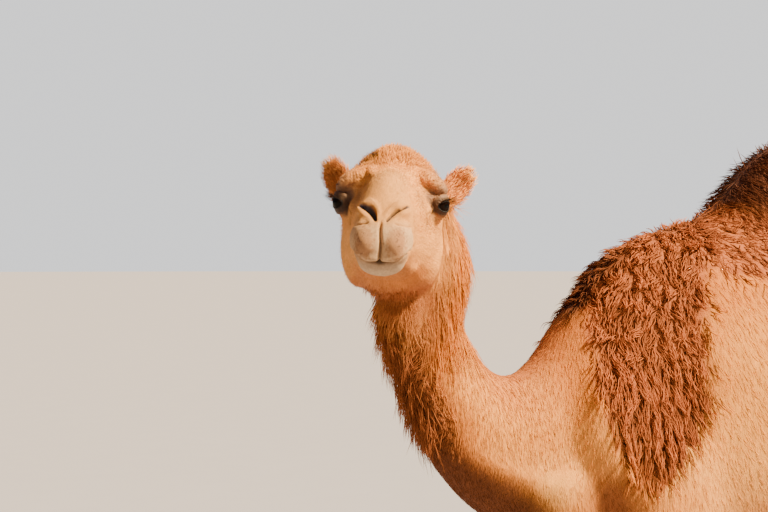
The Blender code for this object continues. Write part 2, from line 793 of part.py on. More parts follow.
def build():
    """Model the camel, part it and show its pieces."""
    for old in list(bpy.data.objects):
        bpy.data.objects.remove(old)
    parts = bpy.data.collections.new("dromedary_camel")
    cutters = bpy.data.collections.new("cutters")
    bpy.context.scene.collection.children.link(parts)
    bpy.context.scene.collection.children.link(cutters)
    materials = make_materials()

    masses = whole_body()
    body = remeshed(masses.copy(), BODY_VOXEL)
    relax(body, 24, body_shares)
    head_shell = remeshed(masses, HEAD_VOXEL)
    relax(head_shell, 10, head_shares)

    for name, planes, budget, coat in body_regions():
        add_object(name, piece_mesh(name, body, planes, budget), materials[coat], parts)
    add_object("trunk", trunk_mesh(body), materials["coat_tan"], parts)
    head_mesh = piece_mesh("head", head_shell, (throat_plane(), NECK_TOP), HEAD_BUDGET)
    head = add_object("head", head_mesh, materials["coat_pale"], parts)
    seats = []
    for side, word in ((-1.0, "left"), (1.0, "right")):
        eye = add_object(f"eye_{word}", eye_mesh(side), materials["eye_dark"], parts)
        ear = add_object(f"ear_{word}", built(add_ear, side), materials["coat_tan"], parts)
        seats += [(head, eye), (ear, head)]
    for name, (side, _, _) in LEGS.items():
        foot = parts.objects[f"foot_{name}"]
        for toe in (-1.0, 1.0):
            word = "outer" if toe == side else "inner"
            nail = add_object(f"nail_{name}_{word}", built(add_nail, *foot_place(name), toe),
                              materials["nail_horn"], parts)
            seats.append((foot, nail))
    centre_over_origin(parts)
    for target, neighbour in seats:
        add_cutter(target, neighbour.data, cutters)


build()
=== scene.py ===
"""Dromedary camel, life size: the skin, coat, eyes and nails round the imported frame.

Metres, +Z up. The animal faces -X with its left flank towards -Y, and its head is
turned to its left. One skin replaces the flesh of the frame and lies inside it by
the depth of the coat, whose locks of hair are solid mesh and reach out to it.
"""

import json
import logging
import math
from collections.abc import Callable
from dataclasses import dataclass, field
from enum import Enum

import bmesh
import bpy
import numpy as np
from mathutils import Matrix, Vector

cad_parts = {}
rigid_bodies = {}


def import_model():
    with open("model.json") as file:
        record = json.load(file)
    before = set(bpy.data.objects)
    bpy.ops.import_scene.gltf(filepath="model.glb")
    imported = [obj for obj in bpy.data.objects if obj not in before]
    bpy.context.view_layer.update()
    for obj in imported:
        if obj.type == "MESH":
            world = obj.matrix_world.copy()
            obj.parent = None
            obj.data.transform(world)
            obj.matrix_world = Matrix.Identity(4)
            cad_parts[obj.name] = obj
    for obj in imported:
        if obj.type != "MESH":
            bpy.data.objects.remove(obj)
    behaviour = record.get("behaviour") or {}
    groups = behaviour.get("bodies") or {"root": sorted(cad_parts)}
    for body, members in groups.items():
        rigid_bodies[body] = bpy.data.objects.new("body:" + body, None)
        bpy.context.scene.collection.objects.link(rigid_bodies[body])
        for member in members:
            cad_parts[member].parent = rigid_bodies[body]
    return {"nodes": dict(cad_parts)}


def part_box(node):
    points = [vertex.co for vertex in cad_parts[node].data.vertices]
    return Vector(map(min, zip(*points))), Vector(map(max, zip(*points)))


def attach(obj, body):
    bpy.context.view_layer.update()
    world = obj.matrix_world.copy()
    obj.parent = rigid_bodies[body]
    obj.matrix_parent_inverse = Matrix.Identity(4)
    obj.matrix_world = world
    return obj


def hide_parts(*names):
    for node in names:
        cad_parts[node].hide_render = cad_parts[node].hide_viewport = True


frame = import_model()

LOG = logging.getLogger("camel")
BODY = "root"


class Slot(Enum):
    """The record's material slots."""

    TAN = "coat_tan"
    PALE = "coat_pale"
    BROWN = "coat_brown"
    HORN = "nail_horn"
    EYE = "eye_dark"


# ---------------------------------------------------------------- small tools
def linear(code: str) -> np.ndarray:
    """Turn an sRGB hex colour into linear red, green and blue.

    Args:
        code: the colour, such as "#c98a5e".

    Returns:
        Three linear values.
    """
    values = np.array([int(code[start:start + 2], 16) / 255.0 for start in (1, 3, 5)])
    return np.where(values <= 0.04045, values / 12.92, ((values + 0.055) / 1.055) ** 2.4)


def ease(values: np.ndarray, low: float, high: float) -> np.ndarray:
    """Rise smoothly from 0 at low to 1 at high.

    Args:
        values: where to look.
        low: the value with the result 0.
        high: the value with the result 1, which may be the smaller one.

    Returns:
        The share at each value.
    """
    share = np.clip((values - low) / (high - low), 0.0, 1.0)
    return share * share * (3.0 - 2.0 * share)


def bell(values: np.ndarray, width: float) -> np.ndarray:
    """Return a smooth bump of the given half width round 0."""
    return np.exp(-(values / width) ** 2)


def lengths(vectors: np.ndarray) -> np.ndarray:
    """Return the length of each row."""
    return np.linalg.norm(vectors, axis=1)


def apart(*offsets: np.ndarray) -> np.ndarray:
    """Return how far points lie from a place, given their offsets from it on each axis."""
    return lengths(np.stack(offsets, axis=1))


def unit(vectors: np.ndarray) -> np.ndarray:
    """Return the vectors at length 1."""
    return vectors / np.maximum(np.linalg.norm(vectors, axis=1, keepdims=True), 1e-9)


def value_noise(points: np.ndarray, size: float, seed: int) -> np.ndarray:
    """Smooth random values in space.

    Args:
        points: where to look, one row each.
        size: the distance over which the values change, in metres.
        seed: picks the pattern.

    Returns:
        One value from -1 to 1 for each point.
    """
    primes = np.array([73856093, 19349663, 83492791])    # they hash a cell's corners
    scaled = points / size + 37.0 * seed
    cell = np.floor(scaled).astype(np.int64)
    part = scaled - cell
    part = part * part * (3.0 - 2.0 * part)
    total = np.zeros(len(points))
    for corner in range(8):
        offset = np.array([corner & 1, corner >> 1 & 1, corner >> 2 & 1])
        key = ((cell + offset) * primes).sum(1) + seed * 911
        key = (key ^ (key >> 13)) * 1274126177 & 0x7FFFFFFF
        random = (key ^ (key >> 16)) % 65536 / 32767.5 - 1.0
        weight = np.prod(np.where(offset == 1, part, 1.0 - part), axis=1)
        total += random * weight
    return total


def add_node(tree: bpy.types.NodeTree, kind: str, inputs: dict | None = None,
             **settings: object) -> bpy.types.Node:
    """Add one node with its settings, values and links.

    Args:
        tree: the node tree.
        kind: the node's type.
        inputs: a value or an output socket for each input, by name or number.
        settings: the node's own properties.

    Returns:
        The node.
    """
    node = tree.nodes.new(kind)
    for name, value in settings.items():
        setattr(node, name, value)
    feed(node, inputs or {})
    return node


def feed(node: bpy.types.Node, inputs: dict) -> None:
    """Set a node's inputs.

    Args:
        node: the node.
        inputs: a value or an output socket for each input, by name or number.
    """
    for name, value in inputs.items():
        if isinstance(value, bpy.types.NodeSocket):
            node.id_data.links.new(value, node.inputs[name])
        else:
            node.inputs[name].default_value = value


class Nodes:
    """A node tree under way."""

    tree: bpy.types.NodeTree

    def node(self, kind: str, inputs: dict | None = None, output: int | str = 0,
             **settings: object) -> bpy.types.NodeSocket:
        """Add one node and return one of its outputs."""
        return add_node(self.tree, kind, inputs, **settings).outputs[output]


def new_object(name: str, data: bpy.types.ID) -> bpy.types.Object:
    """Put a mesh, a lamp or a camera into the scene.

    Args:
        name: the object's name.
        data: what it shows.

    Returns:
        The object, at the origin.
    """
    made = bpy.data.objects.new(name, data)
    bpy.context.scene.collection.objects.link(made)
    return made


def as_mesh(bm: bmesh.types.BMesh, name: str) -> bpy.types.Mesh:
    """Turn a bmesh into a mesh, and free it.

    Args:
        bm: the bmesh.
        name: the mesh's name.

    Returns:
        The mesh.
    """
    mesh = bpy.data.meshes.new(name)
    bm.to_mesh(mesh)
    bm.free()
    return mesh


def mesh_of(name: str, points: np.ndarray, faces: list) -> bpy.types.Mesh:
    """Make a mesh from its points, one row each, and its faces.

    Args:
        name: the mesh's name.
        points: the places of its vertices.
        faces: the numbers of each face's vertices.

    Returns:
        The mesh.
    """
    mesh = bpy.data.meshes.new(name)
    mesh.from_pydata([tuple(point) for point in points], [], faces)
    return mesh


def drop_attributes(mesh: bpy.types.Mesh, kept: tuple = ()) -> None:
    """Remove what a mesh's modifiers have left on it.

    Args:
        mesh: the mesh.
        kept: the names of the attributes to keep, besides those that every mesh has.
    """
    for name in [attribute.name for attribute in mesh.attributes]:
        attribute = mesh.attributes[name]
        if not (attribute.is_internal or attribute.is_required or name in kept):
            mesh.attributes.remove(attribute)


def closed(mesh: bpy.types.Mesh, material: bpy.types.Material) -> bpy.types.Object:
    """Show a closed mesh, smooth and with its faces turned outwards.

    Args:
        mesh: the mesh, which gives the object its name.
        material: its material.

    Returns:
        The object.
    """
    bm = bmesh.new()
    bm.from_mesh(mesh)
    bmesh.ops.recalc_face_normals(bm, faces=bm.faces)
    bm.to_mesh(mesh)
    bm.free()
    mesh.shade_smooth()
    mesh.materials.append(material)
    return new_object(mesh.name, mesh)


def applied(source: bpy.types.Object) -> bpy.types.Mesh:
    """Return a plain mesh of an object with its modifiers, and drop the object.

    Args:
        source: the object.

    Returns:
        The mesh as its modifiers leave it.
    """
    graph = bpy.context.evaluated_depsgraph_get()
    mesh = bpy.data.meshes.new_from_object(source.evaluated_get(graph))
    bpy.data.objects.remove(source)
    return mesh


def read_points(mesh: bpy.types.Mesh) -> np.ndarray:
    """Read the places of a mesh's vertices.

    Args:
        mesh: the mesh.

    Returns:
        One row for each vertex.
    """
    points = np.empty(len(mesh.vertices) * 3)
    mesh.vertices.foreach_get("co", points)
    return points.reshape(-1, 3)


def write_points(mesh: bpy.types.Mesh, points: np.ndarray) -> None:
    """Move a mesh's vertices to the given places."""
    mesh.vertices.foreach_set("co", points.ravel())
    mesh.update()


def read_normals(mesh: bpy.types.Mesh) -> np.ndarray:
    """Read the smooth normals of a mesh's vertices.

    Args:
        mesh: the mesh.

    Returns:
        One row for each vertex.
    """
    normals = np.empty(len(mesh.vertices) * 3, dtype=np.float32)
    mesh.vertex_normals.foreach_get("vector", normals)
    return normals.reshape(-1, 3).astype(float)


def write_values(mesh: bpy.types.Mesh, name: str, values: np.ndarray) -> None:
    """Store numbers, vectors or colours on a mesh's vertices.

    Args:
        mesh: the mesh.
        name: the attribute's name.
        values: one number, or a row of three for a vector or four for a colour, each.
    """
    width = 1 if values.ndim == 1 else values.shape[1]
    kind, slot = {1: ("FLOAT", "value"), 3: ("FLOAT_VECTOR", "vector"),
                  4: ("FLOAT_COLOR", "color")}[width]
    attribute = mesh.attributes.new(name, kind, "POINT")
    attribute.data.foreach_set(slot, values.astype(np.float32).ravel())


def relaxed(mesh: bpy.types.Mesh, points: np.ndarray, rounds: int,
            strength: np.ndarray, keep: float = 0.0) -> np.ndarray:
    """Even out points over a mesh's edges.

    Args:
        mesh: the mesh whose edges join the points.
        points: their places.
        rounds: how many times each point moves.
        strength: how far each point moves towards its neighbours' middle.
        keep: the share of each round that every other round takes back.

    Returns:
        The new places.
    """
    edges = np.empty(len(mesh.edges) * 2, dtype=np.int64)
    mesh.edges.foreach_get("vertices", edges)
    first, second = edges.reshape(-1, 2).T
    count = np.maximum(np.bincount(edges, minlength=len(points)), 1).astype(float)[:, None]
    for index in range(rounds):
        total = np.empty_like(points)
        for axis in range(3):
            total[:, axis] = (np.bincount(first, points[second, axis], len(points))
                              + np.bincount(second, points[first, axis], len(points)))
        pull = strength[:, None] * (1.0 if index % 2 == 0 else 1.0 - 2.0 * keep)
        points = points + pull * (total / count - points)
    return points


# ---------------------------------------------------------------- the animal's places
@dataclass(frozen=True)
class Places:
    """Where the animal stands: turns points of the row frame into its own measures.

    The body is measured from the foot of the withers: x back, y to the right and z up.
    The head is measured from between its eyes: forward, side (right) and up.
    """

    withers: Vector
    head_origin: Vector
    head_axes: np.ndarray
    eye_radius: float

    WITHERS_BACK = 0.2053    # from the front of the trunk to the foot of the withers
    EYES_AHEAD = 0.010       # from the head's origin to the line between the eyes

    @classmethod
    def from_frame(cls) -> "Places":
        """Read the places from the frame's trunk and eyes.

        Returns:
            The places.
        """
        low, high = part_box("trunk")
        withers = Vector((low.x + cls.WITHERS_BACK, 0.5 * (low.y + high.y), 0.0))
        left, right = (0.5 * sum(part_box(f"eye_{word}"), Vector()) for word in ("left", "right"))
        side = (right - left).normalized()
        up = (Vector((0.0, 0.0, 1.0)) - side * side.z).normalized()
        forward = up.cross(side).normalized()
        low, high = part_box("eye_left")
        origin = 0.5 * (left + right) - forward * cls.EYES_AHEAD
        return cls(withers, origin, np.array([forward, side, up]), 0.5 * (high.z - low.z))

    def body(self, points: np.ndarray) -> np.ndarray:
        """Return the places in the body's measures."""
        return points - np.array(self.withers)

    def head(self, points: np.ndarray) -> np.ndarray:
        """Return how far forward, to the right and up of the eyes' middle points lie."""
        return (points - np.array(self.head_origin)) @ self.head_axes.T

    def from_head(self, places: np.ndarray) -> np.ndarray:
        """Return the row frame's points for places in the head's measures."""
        return places @ self.head_axes + np.array(self.head_origin)

    def eye_centre(self, side: float) -> np.ndarray:
        """Return an eyeball's centre in the head's measures; side is -1 for the left."""
        low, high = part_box("eye_left" if side < 0.0 else "eye_right")
        return self.head(np.array([0.5 * (low + high)]))[0]


PLACES = Places.from_frame()

# The animal's left and right, and places that several shapes share: the middle and the
# nose of the head in the head's measures, and the callus of the chest in the body's.
SIDES = (-1.0, 1.0)
HEAD_MIDDLE = np.array([0.08, 0.0, -0.03])
NOSE = np.array([0.275, 0.0, -0.035])
CHEST_CALLUS = np.array([0.17, 0.0, 0.985])


def from_middle(head: np.ndarray) -> np.ndarray:
    """Return how far points lie from the head's middle."""
    return lengths(head - HEAD_MIDDLE)


def from_eye(head: np.ndarray) -> np.ndarray:
    """Return how far points lie from the centre of the nearer eyeball."""
    return np.minimum(*(lengths(head - PLACES.eye_centre(side)) for side in SIDES))


def from_jowl(head: np.ndarray) -> np.ndarray:
    """Return how far points lie from the line along the middle of the nearer jowl."""
    return apart(np.abs(head[:, 1]) - 0.050, head[:, 2] + 0.148)


# ---------------------------------------------------------------- the markings
PALETTE = {name: linear(code) for name, code in {
    "tan": "#d68437", "peach": "#f3aa4e", "cream": "#fcc069", "rust": "#ae6035",
    "brown": "#3e2115", "dark": "#2a1812", "mane": "#ce7629", "crown": "#da893c",
    "bridge": "#d49550", "cheek": "#eaa152", "grey": "#cbac89", "lip": "#a46c42",
    "slate": "#3c3a41", "lid": "#815b44", "ear": "#dd8e4d", "band": "#df9b71",
    "callus": "#8d6a4c",
}.items()}

# The middle line of the neck from its top: back from the withers and up.
NECK_LINE = ((-0.503, 1.885), (-0.470, 1.815), (-0.458, 1.745), (-0.462, 1.655), (-0.446, 1.565),
             (-0.400, 1.475), (-0.330, 1.405), (-0.225, 1.362), (-0.100, 1.370), (0.030, 1.400))


def neck_measures(body: np.ndarray) -> tuple[np.ndarray, np.ndarray]:
    """Measure points along the neck and in front of its middle line.

    Args:
        body: places in the body's measures.

    Returns:
        The way down the neck's line from its top, and how far in front of it they lie.
    """
    flat = body[:, (0, 2)]
    line = np.array(NECK_LINE)
    best = np.full(len(flat), np.inf)
    along = np.zeros(len(flat))
    front = np.zeros(len(flat))
    start = 0.0
    for first, last in zip(line[:-1], line[1:]):
        span = last - first
        length = float(np.linalg.norm(span))
        span = span / length
        share = np.clip((flat - first) @ span, 0.0, length)
        off = flat - (first + share[:, None] * span)
        distance = lengths(off)
        closer = distance < best
        best[closer] = distance[closer]
        along[closer] = start + share[closer]
        front[closer] = (off @ np.array([span[1], -span[0]]))[closer]
        start += length
    return along, front


@dataclass
class Coat:
    """The lie, length, depth and colour of the coat at each point of the skin.

    In its methods x, y and z are the body's measures (back, right and up), and f, s
    and u are the head's (forward, right and up). Reach is how far s lies from 0.
    """

    points: np.ndarray
    normals: np.ndarray
    parts: dict = field(init=False)

    def __post_init__(self) -> None:
        """Measure every point on the body and on the head."""
        self.body = PLACES.body(self.points)
        self.head = PLACES.head(self.points)
        self.along, self.front = neck_measures(self.body)
        self.parts = self.shares()
        self.mottle = (value_noise(self.points, 0.06, 21) * 0.5
                       + value_noise(self.points, 0.02, 22) * 0.5)

    def shares(self) -> dict:
        """Return how far each point belongs to each part of the animal.

        Returns:
            A share from 0 to 1 at each point, by the part's name.
        """
        x, y, z = self.body.T
        f, s, u = self.head.T
        side = np.abs(y)
        reach = np.abs(s)
        near = ease(lengths(self.head), 0.45, 0.38)
        head = ease(0.96 * f + 0.28 * u + 0.171, -0.015, 0.03) * near
        ear_root = np.array([-0.098, 0.103, 0.012])
        from_ear = np.stack([f, reach, u], axis=1) - ear_root
        ear = head * ease(from_ear[:, 1] + 0.6 * from_ear[:, 2], 0.0, 0.018)
        ear *= ease(f, -0.055, -0.075)
        neck = ease(x, -0.10, -0.24) * (1.0 - head)
        # The wool ends in a ragged line, in front and behind, at each height.
        rough = (0.010 * value_noise(self.points, 0.05, 3)
                 + 0.009 * value_noise(self.points, 0.018, 4))
        front = np.interp(z, (1.28, 1.32, 1.43, 1.55, 1.66, 1.74),
                          (0.0, -0.06, -0.10, -0.09, -0.07, -0.12))
        back = np.interp(z, (1.28, 1.30, 1.40, 1.465, 1.615, 1.69, 1.77, 1.82),
                         (0.0, 0.05, 0.12, 0.145, 0.14, 0.17, 0.19, 0.27))
        wool = ease(x + rough - front, -0.018, 0.018) * ease(x + rough - back, 0.012, -0.030)
        wool *= ease(z + rough, 1.275, 1.31)
        hump = ease(z + 1.5 * rough + 0.02 * np.sin(9.0 * x), 1.855, 1.905)
        hump = hump * ease(x, 0.12, 0.26) * ease(x, 1.12, 1.02)
        crest = ease(z + rough, 1.70, 1.78) * ease(x, 0.15, 0.25) * ease(x, 0.95, 0.8)
        crest *= 1.0 - hump
        wool *= 1.0 - hump
        halo = ease(x - front, -0.10, 0.01) * ease(x - back, 0.12, 0.0) * ease(z, 1.38, 1.52)
        # The mane runs down behind the neck, the beard before it, the crimped band between.
        nape = ease(self.front, 0.045, 0.005)
        mane = ease(f, -0.060, -0.105) * ease(self.along, 0.36, 0.24) * nape * ease(x, -0.28, -0.38)
        mane *= ease(z, 1.94, 1.87) * (1.0 - ear) * near
        throat = ease(self.front, 0.060, 0.088) * ease(x, -0.28, -0.36)
        throat *= ease(self.along, 0.48, 0.40) * ease(self.along, 0.0, 0.05) * (1.0 - head)
        band_at = np.interp(self.along, (0.20, 0.25, 0.30, 0.43, 0.48),
                            (0.015, 0.028, 0.050, 0.052, 0.088))
        band = bell(self.front - band_at, 0.024) * ease(side, 0.025, 0.050)
        band *= ease(self.along, 0.17, 0.24) * ease(self.along, 0.52, 0.47) * (1.0 - head)
        jaw = head * ease(f, 0.01, -0.05) * ease(u, -0.15, -0.20) * ease(reach, 0.060, 0.030)
        throat = np.maximum(throat, jaw)
        low_leg = ease(z, 1.05, 0.86) * (1.0 - neck)
        tail = ease(x, 1.26, 1.285)
        tuft = tail * ease(z, 1.16, 1.06)
        muzzle = head * ease(f, 0.17, 0.235) * ease(u, 0.02, -0.01)
        return {"head": head, "ear": ear, "neck": neck, "wool": wool, "hump": hump, "crest": crest,
                "mane": mane, "throat": throat, "band": band, "leg": low_leg, "tail": tail,
                "tuft": tuft, "muzzle": muzzle, "halo": halo}

    def depth(self) -> np.ndarray:
        """Return how deep the coat is over the skin, in metres.

        Returns:
            One value for each point.
        """
        p = self.parts
        x, _, z = self.body.T
        f, s, u = self.head.T
        joint = (bell(z - 0.575, 0.060) * ease(x, 0.5, 0.3)
                 + bell(z - 0.640, 0.070) * ease(x, 0.5, 0.7))
        shank = 0.009 - 0.0075 * joint - 0.003 * ease(z, 0.20, 0.10)
        depth = np.full(len(self.points), 0.008)
        for name, amount in (("neck", 0.010), ("leg", shank), ("wool", 0.019), ("crest", 0.014),
                             ("hump", 0.014), ("mane", 0.016), ("throat", 0.018), ("band", 0.013),
                             ("tail", 0.006), ("tuft", 0.012), ("head", 0.004)):
            depth += p[name] * (amount - depth)
        crown = p["head"] * ease(u + 0.35 * np.abs(s), 0.05, 0.11) * ease(f, 0.06, -0.03)
        depth += crown * (0.007 - depth)
        foot = p["neck"] * ease(self.front, 0.03, 0.08) * ease(self.along, 0.46, 0.56)
        depth += foot * (0.002 - depth)
        depth += p["muzzle"] * (0.0018 - depth)
        depth += p["ear"] * (0.0015 - depth)
        return depth * ease(z, 0.03, 0.13)

    def lie(self) -> np.ndarray:
        """Return the direction in which the hair lies, along the skin.

        Returns:
            A direction of length 1 for each point, in the row frame.
        """
        p = self.parts
        x, y, z = self.body.T
        head = self.head
        # On the body it hangs down and a little back, and on the head it runs off the nose.
        way = np.stack([np.full(len(x), 0.30), np.zeros(len(x)), np.full(len(x), -1.0)], axis=1)
        way[:, 0] += 0.5 * p["hump"] - 0.22 * p["neck"] - 0.25 * p["wool"] + 0.55 * p["crest"]
        way[:, 1] += 0.25 * np.sign(y) * ease(z, 1.5, 1.8)
        way[:, 0] -= 0.28 * p["leg"]
        way[:, 0] += 0.7 * bell(x - 0.24, 0.12) * bell(z - 1.42, 0.25)
        way[:, 1] += p["throat"] * 0.15 * np.sign(y)
        crimp = np.sin(2.0 * np.pi * self.along / 0.028 + 1.6 * value_noise(self.points, 0.03, 15))
        way[:, 0] += 1.3 * p["band"] * crimp
        curly = p["wool"] * (0.35 + 0.65 * ease(z, 1.48, 1.60)) + p["crest"]
        way[:, 0] += 1.1 * curly * value_noise(self.points, 0.022, 16)
        way[:, 1] += 0.5 * curly * value_noise(self.points, 0.022, 17)
        from_nose = head - NOSE
        from_nose[:, 2] += -0.10 * ease(head[:, 2], 0.0, -0.08) * p["head"]
        on_face = unit(from_nose) @ PLACES.head_axes
        from_ear = head - np.array([-0.102, 0.0, -0.02])
        from_ear[:, 1] -= np.sign(head[:, 1]) * 0.075
        on_ear = unit(from_ear) @ PLACES.head_axes
        down = np.array([0.12, 0.0, -1.0])
        way = way + p["head"][:, None] * (on_face - way)
        way = way + ease(p["mane"], 0.0, 0.25)[:, None] * 0.95 * (down - way)
        way = way + p["ear"][:, None] * (on_ear - way)
        for axis in range(3):
            sway = value_noise(self.points, 0.11, 11 + axis)
            way[:, axis] += 0.16 * sway * (1.0 - 0.7 * p["head"])
        way -= self.normals * (way * self.normals).sum(1, keepdims=True)
        flat = lengths(way) < 0.05
        way[flat] += np.array([0.3, 0.0, 0.0])
        return unit(way)

    def colour(self) -> np.ndarray:
        """Return the colour of the hair at each point.

        Returns:
            Linear red, green, blue and an alpha of 1 for each point.
        """
        self.colours = np.tile(PALETTE["peach"], (len(self.points), 1))
        self.paint_body()
        self.paint_face()
        self.paint_eyes()
        self.paint("slate", self.nostril_share())
        # Painted shade: the line of the mouth and the cleft of the lip are painted dark for the
        # shadow in their grooves.
        self.paint("dark", 0.9 * self.mouth_share())
        return np.concatenate([np.clip(self.colours, 0.0, 1.0), np.ones((len(self.points), 1))],
                              axis=1)

    def paint(self, name: str, share: np.ndarray) -> None:
        """Lay one colour of the palette over the others."""
        self.colours += np.clip(share, 0.0, 1.0)[:, None] * (PALETTE[name] - self.colours)

    def paint_body(self) -> None:
        """Paint the trunk, the neck, the legs and the tail."""
        p = self.parts
        x, y, z = self.body.T
        mottle = self.mottle
        self.paint("tan", 0.45 + 0.35 * mottle)
        self.paint("tan", 0.85 * ease(z, 1.50, 1.72))
        self.paint("cream", 0.75 * ease(z + 0.03 * mottle, 1.42, 1.16) * ease(z, 0.9, 1.05))
        self.paint("cream", 0.45 * p["neck"] * ease(x, -0.36, -0.20) * ease(z, 1.40, 1.48))
        self.paint("mane", 0.55 * ease(z, 1.60, 1.74) * ease(x, 0.10, 0.20))
        nape = ease(self.normals[:, 2], 0.0, 0.55) * ease(x, -0.42, -0.34) * ease(x, 0.05, -0.05)
        self.paint("mane", 0.75 * nape * (0.85 + 0.3 * mottle))
        self.paint("rust", 0.70 * nape * bell(y, 0.060))
        self.paint("mane", 0.45 * p["halo"] * (0.85 + 0.3 * mottle))
        self.paint("rust", ease(p["wool"], 0.04, 0.40) * (0.95 - 0.15 * mottle))
        self.paint("rust", ease(p["crest"], 0.15, 0.60) * (0.92 + 0.1 * mottle))
        dark_wool = 0.45 * bell(x - 0.30, 0.07) * bell(z - 1.87, 0.05)
        self.paint("brown", dark_wool * ease(mottle, -0.2, 0.3))
        self.paint("rust", p["hump"])
        self.paint("brown", 0.90 * p["hump"] * (0.95 + 0.1 * mottle))
        # A dark ridge stands in front of the withers, and the throat has a dark beard.
        ridge = ease(y, -0.05, -0.015) * ease(z, 1.60, 1.66) * ease(x, -0.14, -0.08)
        self.paint("brown", 0.75 * ridge * ease(x, 0.10, 0.0))
        self.paint("mane", 0.75 * p["mane"] * (0.85 + 0.4 * mottle))
        # Painted shade: the front of the neck is painted rustier for the shade on it.
        shade = 0.35 * ease(self.front, 0.02, 0.07) * ease(self.along, 0.6, 0.4)
        self.paint("rust", shade * p["neck"])
        self.paint("rust", p["throat"])
        beard = 0.88 * p["throat"] * (0.9 + 0.4 * mottle)
        self.paint("brown", beard * ease(self.front, 0.060, 0.090))
        self.paint("band", 0.75 * p["band"] * (0.9 + 0.3 * mottle))
        high = 0.65 * p["neck"] * ease(self.along, 0.26, 0.12)
        self.paint("rust", high * ease(self.front, 0.0, 0.05))
        # Painted shade: the hair that faces down is painted redder, orange where it turns under,
        # and brown on the chest, for the shade under the neck, chest and belly.
        low = np.maximum(p["neck"], ease(z, 1.45, 1.25) * ease(x, 0.25, 0.05)) * (1.0 - p["leg"])
        self.paint("mane", 0.70 * low * ease(self.normals[:, 2], 0.20, -0.15))
        under = ease(self.normals[:, 2], 0.0, -0.45) * np.maximum(p["neck"], ease(z, 1.45, 1.25))
        under *= 1.0 - p["leg"]
        self.paint("rust", 0.85 * under)
        self.paint("brown", 0.45 * under * ease(x, 0.1, -0.1))
        # Painted shade: the low front of the neck is painted brown.
        painted_chest_shade = 0.45 * p["neck"] * ease(self.front, 0.055, 0.10)
        self.paint("brown", painted_chest_shade * ease(self.along, 0.42, 0.52))
        self.paint("cream", 0.35 * p["leg"])
        self.paint("rust", 0.8 * p["tuft"])
        self.paint("brown", 0.8 * p["tuft"])
        calluses = bell(lengths((self.body - CHEST_CALLUS) / [1.3, 1.0, 1.0]), 0.055)
        calluses += p["leg"] * ease(x, 0.075, 0.02) * bell(z - 0.565, 0.05) * ease(x, -0.2, -0.1)
        self.paint("callus", calluses)

    def paint_face(self) -> None:
        """Paint the head with its muzzle, jowls and ears."""
        f, s, u = self.head.T
        reach = np.abs(s)
        head = self.parts["head"]
        mottle = self.mottle
        self.paint("cheek", head)
        crown = ease(u + 0.2 * ease(f, 0.12, 0.0), 0.16, 0.24)
        self.paint("crown", 0.85 * head * crown * (0.85 + 0.35 * mottle))
        bridge = ease(reach, 0.052, 0.028) * ease(u + 0.55 * f, 0.045, 0.075)
        self.paint("bridge", head * bridge * ease(f, 0.055, 0.11))
        self.paint("bridge", 0.5 * head * ease(f, 0.10, 0.2) * ease(u, -0.15, -0.02))
        front = ease(f, 0.225, 0.275)
        self.paint("grey", 0.65 * head * front * ease(u, -0.030, -0.06))
        specks = value_noise(self.points, 0.0035, 31)
        lip_spot = apart(reach - 0.029, (u + 0.078) * 0.70) + 0.006 * specks
        patch = ease(lip_spot, 0.026, 0.012) * front
        self.paint("lip", 0.72 * head * patch * (0.9 + 0.3 * mottle))
        spots = ease(value_noise(self.points, 0.0028, 32), 0.45, 0.75)
        self.paint("lid", 0.8 * head * patch * spots)
        # Painted shade: the underside of the jaw, where it faces down, is painted rust.
        painted_jaw_shade = head * ease(self.normals[:, 2], -0.25, -0.75) * ease(f, 0.21, 0.16)
        self.paint("rust", 0.65 * painted_jaw_shade)
        chin = head * ease(u, -0.112, -0.122) * ease(f, 0.17, 0.225)
        self.paint("grey", 0.9 * chin)
        # Painted shade: the crease under each jowl is painted brown for the shadow in it.
        crease = bell(from_jowl(self.head) - 0.041, 0.009) * ease(u, -0.148, -0.168)
        crease *= ease(f, 0.02, 0.06)
        self.paint("brown", 0.80 * head * crease * ease(f, 0.215, 0.19))
        under_lip = bell(u - mouth_height(self.head) + 0.006, 0.007) * ease(f, 0.20, 0.24)
        self.paint("lid", 0.35 * head * under_lip)
        self.paint("mane", 0.45 * head * bell(f - 0.02, 0.06) * ease(u, -0.10, -0.14))
        self.paint("rust", 0.75 * head * ease(f, 0.02, -0.06) * ease(u, -0.13, -0.19))
        # Dark hair and painted shade: a brown patch on the right of the crown, between it and the
        # brow, on that side only.
        dark_hair_and_shade = head * ease(s, 0.025, 0.042) * bell(u - 0.104, 0.030) * bell(f + 0.035, 0.080)
        self.paint("brown", 0.95 * dark_hair_and_shade * ease(mottle, -0.9, -0.1))
        ear = self.parts["ear"]
        self.paint("ear", ear * 0.95)
        self.paint("cream", 0.5 * (ear * ease(reach + 0.5 * u, 0.165, 0.19)))

